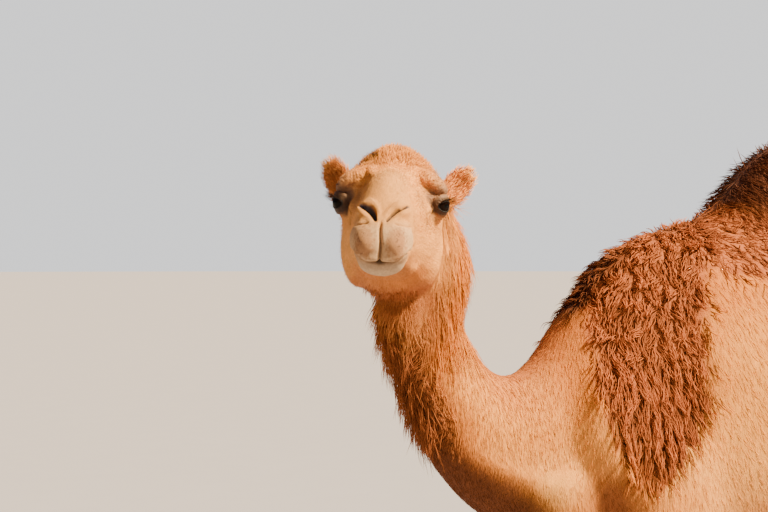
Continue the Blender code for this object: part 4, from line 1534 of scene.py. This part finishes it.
@dataclass(frozen=True)
class CoatPiece:
    """One piece of the coat: where it grows, its locks and how they lie."""

    name: str
    where: Callable
    lock: Lock
    length: float
    budget: int
    spread: float = 0.25
    lift: float = 0.25
    tousle: float = 0.12
    clump_size: float = 0.02
    clumping: float = 0.3
    clump_sway: float = 0.2
    slot: Slot = Slot.TAN

    VARIANTS = 3           # shapes of each lock, picked at random
    PATCH = 0.003          # the size of a lock's patch of the unwrap
    QUICK_SHARE = 0.3

    def grow(self, skin: bpy.types.Object, tree: LockTree, material: bpy.types.Material,
             seed: int) -> bpy.types.Object:
        """Grow this piece of the coat on the skin.

        Args:
            skin: the skin, with the coat's measures stored on it.
            tree: the tree that grows locks.
            material: the hair's material.
            seed: picks where the locks stand.

        Returns:
            The piece's object, a plain mesh.
        """
        locks = bpy.data.collections.new(f"{self.name}_locks")
        for variant in range(self.VARIANTS):
            mesh = self.lock.mesh(f"{self.name}_lock_{variant}", variant)
            locks.objects.link(bpy.data.objects.new(mesh.name, mesh))
        count = self.budget / self.lock.triangles * 1.0
        source = new_object(f"{self.name}_source", skin.data)
        modifier = source.modifiers.new("locks", "NODES")
        tree.set_on(modifier, {
            "Locks": locks, "Grows": f"grows_{self.name}",
            "Density": count / grown_area(skin.data, f"grows_{self.name}"),
            "Length": self.length, "Length Spread": self.spread, "Lift": self.lift,
            "Tousle": self.tousle, "Clump Size": self.clump_size, "Clumping": self.clumping,
            "Clump Sway": self.clump_sway, "Patch": self.PATCH, "Seed": seed,
            "Material": material,
        })
        mesh = applied(source)
        mesh.name = self.name
        drop_attributes(mesh, ("tone", "along", "coat_colour", "OFBake"))
        mesh.materials.clear()
        mesh.materials.append(material)
        for lock in list(locks.objects):
            bpy.data.objects.remove(lock)
        bpy.data.collections.remove(locks)
        return new_object(self.name, mesh)


def grown_area(mesh: bpy.types.Mesh, name: str) -> float:
    """Return the area of skin that an attribute covers, weighed by its values.

    Args:
        mesh: the skin.
        name: the attribute's name.

    Returns:
        Square metres, never quite 0.
    """
    values = np.empty(len(mesh.vertices), dtype=np.float32)
    mesh.attributes[name].data.foreach_get("value", values)
    mesh.calc_loop_triangles()
    corners = np.empty(len(mesh.loop_triangles) * 3, dtype=np.int32)
    mesh.loop_triangles.foreach_get("vertices", corners)
    corners = corners.reshape(-1, 3)
    areas = np.empty(len(mesh.loop_triangles), dtype=np.float32)
    mesh.loop_triangles.foreach_get("area", areas)
    return max(1e-6, float((values[corners].mean(1) * areas).sum()))


def free_side(coat: Coat) -> np.ndarray:
    """Return the share of the plain short coat at each point.

    Args:
        coat: the coat's measures.

    Returns:
        One value for each point.
    """
    p = coat.parts
    share = 1.0 - p["head"]
    for name in ("wool", "hump", "crest", "tuft"):
        share = share * (1.0 - p[name])
    return share * (1.0 - 0.6 * p["mane"]) * (1.0 - 0.8 * p["throat"]) * (1.0 - 0.7 * p["band"])


def crown_share(coat: Coat) -> np.ndarray:
    """Return 1 on the fluffy top and back of the head and 0 on its face."""
    f, _, u = coat.head.T
    return np.maximum(ease(u - 0.6 * f, 0.055, 0.085), ease(f, -0.05, -0.10)) * ease(f, 0.09, 0.05)


FACE_LOCK = Lock(joints=2, width=0.14, thickness=0.06, arch=0.07)
SHORT_LOCK = Lock(joints=2, width=0.080, thickness=0.030, arch=0.035)
FLUFF_LOCK = Lock(joints=2, width=0.075, thickness=0.045, arch=0.10)
STRAND = Lock(joints=5, width=0.024, thickness=0.016, arch=0.04, wave=0.015, turns=1.1)
BEARD = Lock(joints=4, width=0.036, thickness=0.022, arch=0.06, wave=0.025, turns=0.8)
CRIMP = Lock(joints=5, width=0.120, thickness=0.060, arch=0.10, wave=0.030, turns=0.8, hook=0.05)
CURL = Lock(joints=5, width=0.105, thickness=0.055, arch=0.12, wave=0.055, turns=0.9, hook=0.12)
WAVE = Lock(joints=4, width=0.070, thickness=0.040, arch=0.07, wave=0.035, turns=0.8, hook=0.04)
SHAG = Lock(joints=4, width=0.050, thickness=0.028, arch=0.05, wave=0.02, turns=0.8)

COAT_PIECES = (
    CoatPiece("coat_face", lambda c: c.parts["head"] * (1.0 - c.parts["ear"])
              * ease(c.head[:, 0], -0.10, 0.0) * (1.0 - crown_share(c)), FACE_LOCK, 0.0080,
              170_000, lift=0.12, clump_size=0.012, clumping=0.10, slot=Slot.PALE),
    CoatPiece("coat_crown", lambda c: np.maximum(crown_share(c) * c.parts["head"], c.parts["ear"]),
              FLUFF_LOCK, 0.0170, 120_000, lift=0.34, tousle=0.25, clump_size=0.014,
              clump_sway=0.35),
    CoatPiece("coat_mane", lambda c: c.parts["mane"] * (1.0 - c.parts["throat"]), STRAND, 0.075,
              125_000, lift=0.10, tousle=0.07, clump_size=0.03, clumping=0.5, clump_sway=0.16),
    CoatPiece("coat_throat", lambda c: c.parts["throat"], BEARD, 0.062, 60_000, lift=0.26,
              clump_size=0.022, clumping=0.7, clump_sway=0.3, slot=Slot.BROWN),
    CoatPiece("coat_neck", lambda c: free_side(c) * c.parts["neck"], SHORT_LOCK, 0.013, 165_000,
              lift=0.035, tousle=0.06, clumping=0.15, clump_sway=0.10, slot=Slot.PALE),
    CoatPiece("coat_band", lambda c: ease(c.parts["band"], 0.25, 0.6), CRIMP, 0.019, 60_000,
              lift=0.20, clump_size=0.022, clumping=0.2, slot=Slot.BROWN),
    CoatPiece("coat_withers", lambda c: ease(c.parts["wool"], 0.45, 0.8)
              * ease(c.body[:, 2], 1.50, 1.60), CURL, 0.032, 135_000, lift=0.20,
              clump_size=0.030, clumping=0.8, clump_sway=0.8, slot=Slot.BROWN),
    CoatPiece("coat_shoulder", lambda c: ease(c.parts["wool"], 0.45, 0.8)
              * ease(c.body[:, 2], 1.60, 1.50), WAVE, 0.042, 110_000, lift=0.15, tousle=0.08,
              clump_size=0.026, clumping=0.9, clump_sway=0.4, slot=Slot.BROWN),
    CoatPiece("coat_crest", lambda c: c.parts["crest"], CURL, 0.030, 80_000, lift=0.20,
              tousle=0.14, clump_size=0.026, clumping=0.8, clump_sway=0.7, slot=Slot.BROWN),
    CoatPiece("coat_hump", lambda c: c.parts["hump"], SHAG, 0.050, 125_000, lift=0.12,
              tousle=0.09, clump_size=0.03, clumping=0.45, clump_sway=0.22, slot=Slot.BROWN),
    CoatPiece("coat_flank", lambda c: free_side(c) * (1.0 - c.parts["neck"])
              * ease(c.body[:, 0], 0.50, 0.44) * (1.0 - c.parts["leg"]), SHORT_LOCK, 0.018,
              130_000, lift=0.035, tousle=0.07, clump_size=0.025, clumping=0.2, clump_sway=0.12),
    CoatPiece("coat_rump", lambda c: free_side(c) * ease(c.body[:, 0], 0.44, 0.50)
              * (1.0 - c.parts["leg"]) * (1.0 - c.parts["tail"]), SHORT_LOCK, 0.024,
              100_000, lift=0.035, tousle=0.07, clump_size=0.025, clumping=0.2, clump_sway=0.12),
    CoatPiece("coat_legs", lambda c: free_side(c) * (1.0 - c.parts["neck"])
              * np.maximum(c.parts["leg"], c.parts["tail"]), SHORT_LOCK, 0.024, 85_000,
              lift=0.04, tousle=0.09, clumping=0.15, clump_sway=0.12),
    CoatPiece("coat_tail", lambda c: c.parts["tuft"], STRAND, 0.095, 30_000, lift=0.14,
              tousle=0.10, clump_size=0.03, clump_sway=0.15, slot=Slot.BROWN),
)
LASHES = CoatPiece("lashes", free_side, Lock(joints=4, width=0.024, thickness=0.022, arch=0.12,
                                             hook=-0.10), 0.020, 3300, spread=0.30, lift=0.12,
                   tousle=0.18, clump_size=0.004, clumping=0.1, slot=Slot.BROWN)
LASH_SEED = 70


# ---------------------------------------------------------------- finishes
class Recipe(Nodes):
    """A material under way, with short names for the nodes that the finishes share."""

    def __init__(self, name: str) -> None:
        """Start a material with its shader.

        Args:
            name: the material's name.
        """
        self.made = bpy.data.materials.new(name)
        self.made.use_nodes = True
        self.tree = self.made.node_tree

    def stored(self, name: str, output: str = "Fac") -> bpy.types.NodeSocket:
        """Return the values that the mesh holds under a name."""
        return self.node("ShaderNodeAttribute", {}, output, attribute_name=name)

    def noise(self, place: bpy.types.NodeSocket, scale: float, detail: float = 4.0,
              roughness: float = 0.5) -> bpy.types.NodeSocket:
        """Return a random pattern, finer as the scale grows."""
        return self.node("ShaderNodeTexNoise", {"Vector": place, "Scale": scale,
                                                "Detail": detail, "Roughness": roughness})

    def ranged(self, value: bpy.types.NodeSocket, low: float, high: float,
               start: float = 0.0, end: float = 1.0) -> bpy.types.NodeSocket:
        """Turn values from low to high into values from start to end."""
        return self.node("ShaderNodeMapRange", {"Value": value, "From Min": low, "From Max": high,
                                                "To Min": start, "To Max": end})

    def mixed(self, share: bpy.types.NodeSocket, first: object,
              second: object) -> bpy.types.NodeSocket:
        """Blend from the first colour to the second."""
        return self.node("ShaderNodeMix", {0: share, 6: first, 7: second}, 2, data_type="RGBA")

    def shaded(self, first: bpy.types.NodeSocket,
               second: bpy.types.NodeSocket) -> bpy.types.NodeSocket:
        """Return the colour stored on the mesh, made lighter or darker by two factors.

        Args:
            first: a factor.
            second: another one.

        Returns:
            The socket with the colour.
        """
        factor = self.node("ShaderNodeMath", {0: first, 1: second}, operation="MULTIPLY")
        return self.node("ShaderNodeVectorMath", {0: self.stored("coat_colour", "Color"),
                                                  "Scale": factor}, "Vector", operation="SCALE")

    def bump(self, height: bpy.types.NodeSocket, strength: float,
             depth: float) -> bpy.types.NodeSocket:
        """Return the normals of a relief of the given depth in metres."""
        return self.node("ShaderNodeBump", {"Height": height, "Strength": strength,
                                            "Distance": depth})

    def done(self, inputs: dict) -> bpy.types.Material:
        """Set the shader's inputs and return the material."""
        feed(self.tree.nodes["Principled BSDF"], inputs)
        return self.made


@dataclass(frozen=True)
class HairFinish:
    """Camel hair, grown and sun-bleached: matt, with roots painted darker as painted shade deep in
    the coat, and lighter tips.
    """

    name: str
    root: float = 0.62
    tip: float = 1.04
    variation: float = 0.26
    roughness: float = 0.70
    gloss: float = 0.10

    def material(self) -> bpy.types.Material:
        """Make the material.

        Returns:
            A material that reads the colour stored on each lock.
        """
        recipe = Recipe(self.name)
        # Painted shade: each lock is darker at its root, for the shade deep in the coat, and paler
        # at its tip.
        root_shade_and_pale_tip = recipe.ranged(recipe.stored("along"), 0.0, 0.8, self.root, self.tip)
        tint = recipe.ranged(recipe.stored("tone"), 0.0, 1.0,
                             1.0 - self.variation, 1.0 + self.variation)
        return recipe.done({"Base Color": recipe.shaded(root_shade_and_pale_tip, tint), "Roughness": self.roughness,
                            "Specular IOR Level": self.gloss, "IOR": 1.55})


@dataclass(frozen=True)
class SkinFinish:
    """Hide with short, flat-lying hair: fine streaks along the lie and a matt bump."""

    name: str = "short_haired_hide"
    streaks: float = 620.0
    flow: float = 110.0
    wrinkles: float = 240.0

    def material(self) -> bpy.types.Material:
        """Make the material.

        Returns:
            A material that reads the colour and the lie stored on the skin.
        """
        recipe = Recipe(self.name)
        grain = recipe.stored("grain", "Vector")
        bare = recipe.stored("bare")
        # Single hairs, and the broader locks that they lie in, as the light catches them.
        streak = recipe.noise(grain, self.streaks, 3.0, 0.6)
        tint = recipe.ranged(streak, 0.25, 0.75, 0.66, 1.06)
        broad = recipe.ranged(recipe.noise(grain, self.flow, 2.0), 0.3, 0.7, 0.86, 1.08)
        # Where no hair grows, the relief is that of wrinkled skin, a little moister.
        place = recipe.node("ShaderNodeTexCoord", {}, "Object")
        relief = recipe.node("ShaderNodeMix", {0: bare, 2: streak,
                                               3: recipe.noise(place, self.wrinkles)},
                             data_type="FLOAT")
        return recipe.done({"Base Color": recipe.shaded(tint, broad),
                            "Normal": recipe.bump(relief, 0.55, 0.004),
                            "Roughness": recipe.ranged(bare, 0.0, 1.0, 0.78, 0.48),
                            "Specular IOR Level": 0.16})


@dataclass(frozen=True)
class EyeFinish:
    """A wet cornea over a near-black iris: a sharp highlight on deep brown."""

    name: str = "wet_cornea_brown_iris"
    iris: str = "#160b06"
    white: str = "#20150f"

    def material(self) -> bpy.types.Material:
        """Make the material, with the iris round where each eye looks.

        Returns:
            A material that reads the direction stored on the eyeball.
        """
        recipe = Recipe(self.name)
        look = recipe.stored("look", "Vector")
        ahead, across, up = add_node(recipe.tree, "ShaderNodeSeparateXYZ", {0: look}).outputs
        # The pupil is a level slit, so it is wider across than it is high.
        flat = [recipe.node("ShaderNodeMath", {0: way, 1: squash}, operation="MULTIPLY")
                for way, squash in ((across, 1.0), (up, 1.9))]
        flat = recipe.node("ShaderNodeCombineXYZ", {0: flat[0], 1: flat[1]})
        pupil = recipe.node("ShaderNodeVectorMath", {0: flat}, "Value", operation="LENGTH")
        iris = recipe.mixed(recipe.noise(look, 9.0), (0.006, 0.003, 0.002, 1.0),
                            (*linear(self.iris), 1.0))
        inner = recipe.mixed(recipe.ranged(pupil, 0.30, 0.42), (0.002, 0.002, 0.002, 1.0), iris)
        whole = recipe.mixed(recipe.ranged(ahead, 0.62, 0.50), inner, (*linear(self.white), 1.0))
        return recipe.done({"Base Color": whole, "Roughness": 0.04, "IOR": 1.34,
                            "Specular IOR Level": 0.10})


@dataclass(frozen=True)
class PlainFinish:
    """A finish of one colour with fine mottling, for rims, horn and the floor."""

    name: str
    light: str
    dark: str
    grain: float
    roughness: float
    relief: float = 0.2

    def material(self) -> bpy.types.Material:
        """Make the material.

        Returns:
            A material that needs nothing stored on the mesh.
        """
        recipe = Recipe(self.name)
        mottle = recipe.noise(recipe.node("ShaderNodeTexCoord", {}, "Object"), self.grain)
        colour = recipe.mixed(mottle, (*linear(self.dark), 1.0), (*linear(self.light), 1.0))
        return recipe.done({"Base Color": colour, "Roughness": self.roughness,
                            "Normal": recipe.bump(mottle, self.relief, 0.001)})


# ---------------------------------------------------------------- eyes
@dataclass
class Eye:
    """One eyeball with its cornea, the wet rim of its lids and its lashes."""

    side: float
    segments: tuple[int, int] = (48, 32)     # of the eyeball, around and down
    bulge: float = 0.045                     # how far the cornea stands out, as a share
    rim: float = 0.0011                      # half the rim's thickness
    rim_out: float = 0.0009                  # from the eyeball to the rim's middle
    rim_steps: tuple[int, int] = (72, 8)     # along and around the rim
    lash_steps: int = 90
    lash_turns: tuple[float, float] = (-160.0, 195.0)
    lash_out: tuple[float, float] = (0.0016, 0.0030)
    lash_tint: str = "#2a1a12"

    @property
    def word(self) -> str:
        """Which eye this is."""
        return "left" if self.side < 0.0 else "right"

    def ball(self, material: bpy.types.Material) -> bpy.types.Object:
        """Make the eyeball, with the direction of each point from where it looks.

        Args:
            material: the eye's material.

        Returns:
            The eyeball's object.
        """
        shape = EyeOpening(self.side)
        bm = bmesh.new()
        around, down = self.segments
        bmesh.ops.create_uvsphere(bm, u_segments=around, v_segments=down, radius=1.0)
        mesh = as_mesh(bm, f"eyeball_{self.word}")
        local = read_points(mesh)[:, (2, 0, 1)]
        bulge = 1.0 + self.bulge * ease(local[:, 0], 0.55, 0.9)
        head = shape.centre + (local * bulge[:, None] * PLACES.eye_radius) @ shape.axes
        write_values(mesh, "look", local)
        write_points(mesh, PLACES.from_head(head))
        made = closed(mesh, material)
        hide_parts(f"eye_{self.word}")
        return made

    def lid_rim(self, material: bpy.types.Material) -> bpy.types.Object:
        """Make the dark wet rim that runs round the opening of the lids.

        Args:
            material: the rim's material.

        Returns:
            The rim's object.
        """
        shape = EyeOpening(self.side)
        steps, sides = self.rim_steps
        turns = np.linspace(0.0, 2.0 * math.pi, steps + 1)[:-1]
        path = shape.edge(turns, PLACES.eye_radius + self.rim_out)
        out = unit(path - shape.centre)
        ahead = unit(np.roll(path, -1, axis=0) - np.roll(path, 1, axis=0))
        across = np.cross(ahead, out)
        rings = [path + self.rim * (math.cos(angle) * out + math.sin(angle) * across)
                 for angle in np.linspace(0.0, 2.0 * math.pi, sides + 1)[:-1]]
        points = np.stack(rings, axis=1).reshape(-1, 3)
        faces = []
        for index in range(steps):
            base = index * sides
            after = (index + 1) % steps * sides
            for step in range(sides):
                far = (step + 1) % sides
                faces.append((base + step, base + far, after + far, after + step))
        mesh = mesh_of(f"lid_rim_{self.word}", PLACES.from_head(points), faces)
        return closed(mesh, material)

    def lash_line(self) -> bpy.types.Mesh:
        """Make the narrow strip that the lashes grow from, on both lids' edges.

        Returns:
            A strip with the lashes' lie, length and growth stored on it.
        """
        shape = EyeOpening(self.side)
        count = self.lash_steps
        turns = np.linspace(*(math.radians(turn) for turn in self.lash_turns), count)
        edges = [shape.edge(turns, PLACES.eye_radius + out) for out in self.lash_out]
        points = PLACES.from_head(np.concatenate(edges))
        faces = [(i, i + 1, count + i + 1, count + i) for i in range(count - 1)]
        mesh = mesh_of(f"lash_line_{self.word}", points, faces)
        gaze, level, upright = shape.axes
        upper = np.sin(turns)
        fan = (np.cos(turns)[:, None] * 0.60 * level + 0.80 * gaze
               + (0.42 * upper[:, None] - 0.22) * upright)
        fan = unit(fan) @ PLACES.head_axes
        size = np.where(upper > 0.0, 0.75 + 0.25 * upper, 0.40)
        grows = np.where(upper > 0, 1.0, 0.3)
        for name, values in (("lie", fan), ("hair_length", size), ("grows_lashes", grows)):
            write_values(mesh, name, np.concatenate([values, values]))
        write_values(mesh, "out", np.tile(upright @ PLACES.head_axes, (2 * count, 1)))
        tint = np.append(linear(self.lash_tint), 1.0)
        write_values(mesh, "coat_colour", np.tile(tint, (2 * count, 1)))
        return mesh


@dataclass
class Nails:
    """The two horn nails on each foot."""

    rings: int = 14
    around: int = 20
    thinner: float = 0.50     # how much of its height a nail loses at its front
    droop: float = 0.40       # how far its front bends down
    narrower: float = 0.22    # how much of its width it loses at its front

    def build(self, material: bpy.types.Material) -> bpy.types.Object:
        """Make all the nails as one piece, in the places of the frame's.

        Args:
            material: the horn.

        Returns:
            The nails' object.
        """
        names = sorted(name for name in frame["nodes"] if name.startswith("nail_"))
        whole = bmesh.new()
        for name in names:
            low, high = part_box(name)
            middle = 0.5 * (low + high)
            half = 0.5 * (high - low)
            made = bmesh.ops.create_uvsphere(whole, u_segments=self.around,
                                             v_segments=self.rings, radius=1.0)
            for vertex in made["verts"]:
                place = vertex.co.copy()
                front = 0.5 * (1.0 - place.x)
                ridge = 1.0 - 0.10 * abs(place.y) + 0.02 * math.cos(9.0 * place.x)
                thick = ridge * (1.0 - self.thinner * front)
                place.z = place.z * thick - self.droop * front ** 2
                place.y *= 1.0 - self.narrower * front ** 2
                vertex.co = middle + Vector((place.x * half.x, place.y * half.y,
                                             place.z * half.z))
        made = closed(as_mesh(whole, "toe_nails"), material)
        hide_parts(*names)
        return made


# ---------------------------------------------------------------- the studio
@dataclass
class Studio:
    """A wide pale floor, soft lamps, pale surroundings and the camera."""

    floor_colour: str = "#a4a1a8"
    floor_mottle: str = "#a09da4"
    floor_radius: float = 120.0
    shade_light: float = 0.22
    shade_tint: str = "#f3e2f9"
    backdrop_light: float = 1.35
    backdrop_colour: str = "#efeff0"
    shoulder: float = 1.5
    lamp_distance: float = 6.0
    sun: float = 18.5
    sun_width: float = 7.0
    sun_tint: str = "#ffe9c0"
    rim: float = 100.0
    rim_width: float = 2.5
    rim_tint: str = "#fff4e6"
    azimuth: float = math.radians(-28.0)
    away: float = 4.05
    aside: float = 0.4825
    height: float = 1.80
    lens: float = 85.0
    sensor: float = 36.0
    pitch: float = math.radians(-0.35)

    @property
    def towards(self) -> Vector:
        """The level direction from the animal to the camera."""
        return Vector((math.sin(self.azimuth), -math.cos(self.azimuth), 0.0))

    @property
    def right(self) -> Vector:
        """The camera's right."""
        return Vector((math.cos(self.azimuth), math.sin(self.azimuth), 0.0))

    def way(self, right: float, towards: float, up: float) -> Vector:
        """Return the direction that goes so far to the camera's right, to it and up."""
        return self.right * right + self.towards * towards + Vector((0.0, 0.0, up))

    def floor(self) -> None:
        """Make the floor, a wide round sheet that meets the pale surroundings far off."""
        bm = bmesh.new()
        bmesh.ops.create_circle(bm, cap_ends=True, radius=self.floor_radius, segments=96)
        mesh = as_mesh(bm, "floor")
        # Matt paint, rolled on: even and without a shine, so that only the shadow shows.
        mesh.materials.append(PlainFinish("matt_studio_floor", self.floor_colour,
                                          self.floor_mottle, 3.0, 0.9, 0.02).material())
        new_object("floor", mesh)

    def lamp(self, name: str, kind: str, way: Vector, size: float, power: float,
             colour: str) -> None:
        """Hang one soft lamp that shines at the shoulder.

        Args:
            name: the lamp's name.
            kind: SUN for even light with a size in degrees, AREA for a square in metres.
            way: the direction from the shoulder to the lamp.
            size: how wide the lamp looks or is.
            power: watts per square metre for SUN and watts for AREA.
            colour: its tint.
        """
        light = bpy.data.lights.new(name, kind)
        light.energy = power
        light.color = tuple(linear(colour))
        if kind == "SUN":
            light.angle = math.radians(size)
        else:
            light.size = size
        made = new_object(name, light)
        target = PLACES.withers + Vector((0.0, 0.0, self.shoulder))
        made.location = target + way.normalized() * self.lamp_distance
        made.rotation_euler = way.to_track_quat("Z", "Y").to_euler()

    def surroundings(self) -> None:
        """Make the pale surroundings, which light the shade softly."""
        world = bpy.data.worlds.new("studio")
        world.use_nodes = True
        tree = world.node_tree
        around = tree.nodes["Background"]
        around.inputs["Color"].default_value = (*linear(self.shade_tint), 1.0)
        around.inputs["Strength"].default_value = self.shade_light
        backdrop = add_node(tree, "ShaderNodeBackground",
                            {"Color": (*linear(self.backdrop_colour), 1.0),
                             "Strength": self.backdrop_light}).outputs[0]
        seen = add_node(tree, "ShaderNodeLightPath").outputs["Is Camera Ray"]
        whole = add_node(tree, "ShaderNodeMixShader", {0: seen, 1: around.outputs[0], 2: backdrop})
        tree.links.new(whole.outputs[0], tree.nodes["World Output"].inputs["Surface"])
        bpy.context.scene.world = world

    def build(self) -> None:
        """Set up the floor, the lamps, the surroundings and the camera."""
        self.floor()
        self.surroundings()
        self.lamp("key", "SUN", self.way(0.88, 0.38, 0.92), self.sun_width, self.sun,
                  self.sun_tint)
        self.lamp("rim", "AREA", self.way(0.2, -0.9, 0.9), self.rim_width, self.rim,
                  self.rim_tint)
        data = bpy.data.cameras.new("camera")
        data.sensor_width = self.sensor
        data.lens = self.lens
        camera = new_object("camera", data)
        place = (PLACES.withers + Vector((0.0, 0.0, self.height)) + self.towards * self.away
                 - self.right * self.aside)
        camera.matrix_world = (Matrix.Translation(place)
                               @ Matrix.Rotation(self.azimuth, 4, "Z")
                               @ Matrix.Rotation(math.radians(90.0) + self.pitch, 4, "X"))
        bpy.context.scene.camera = camera


# ---------------------------------------------------------------- the whole
def ride(made: bpy.types.Object) -> None:
    """Let a piece ride on the body and report it.

    Args:
        made: the piece.
    """
    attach(made, BODY)
    made.data.calc_loop_triangles()
    LOG.info("%s: %d triangles", made.name, len(made.data.loop_triangles))


def dress_eyes(tree: LockTree, hair: bpy.types.Material) -> None:
    """Make both eyes with their rims and lashes.

    Args:
        tree: the tree that grows locks.
        hair: the lashes' material.
    """
    # Wet glass over dark brown, which takes the one sharp highlight of the face.
    cornea = EyeFinish().material()
    # Dark bare skin that ends the coat round the eye in a clean line.
    rim = PlainFinish("moist_lid_skin", "#140c08", "#0b0605", 900.0, 0.80).material()
    for side in SIDES:
        eye = Eye(side)
        ride(eye.ball(cornea))
        ride(eye.lid_rim(rim))
        strip = new_object(f"lash_strip_{eye.word}", eye.lash_line())
        strip.data.uv_layers.new(name="OFBake")
        made = LASHES.grow(strip, tree, hair, LASH_SEED + int(side))
        made.name = f"lashes_{eye.word}"
        bpy.data.objects.remove(strip)
        ride(made)


def main() -> None:
    """Build the camel's skin, coat, eyes and nails, and the studio round it."""
    logging.basicConfig(level=logging.INFO, format="%(message)s")
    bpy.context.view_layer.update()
    Studio().build()
    skin_maker = Skin()
    skin = skin_maker.build()
    # Hide under short hair: the matt ground that shows between the locks.
    skin.data.materials.append(SkinFinish().material())
    skin.data.shade_smooth()
    tree = LockTree()
    # Long guard hair: each strand pales to its tip from a root darkened as painted shade, so the
    # mane and the hump look loose.
    hair = HairFinish("camel_guard_hair").material()
    # Matted wool: painted shade makes it nearly black at the roots, so that its curls stand apart.
    wool = HairFinish("camel_wool", root=0.26, tip=1.10, variation=0.34, roughness=0.75).material()
    # Short summer hair: even in tone, so that it lies smooth like brushed felt.
    short = HairFinish("camel_summer_coat", root=0.80, tip=1.02, variation=0.16).material()
    finishes = {CURL: wool, WAVE: wool, SHORT_LOCK: short, FACE_LOCK: short}
    for seed, piece in enumerate(COAT_PIECES):
        made = piece.grow(skin, tree, finishes.get(piece.lock, hair), seed + 1)
        ride(made)
    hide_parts(*skin_maker.flesh)
    ride(skin)
    dress_eyes(tree, hair)
    # Horn worn dull on sand, with a faint grain and a soft shine.
    horn = PlainFinish("worn_toe_horn", "#5a4a3c", "#2a221c", 260.0, 0.45, 0.5).material()
    ride(Nails().build(horn))


if __name__ == "__main__":
    main()
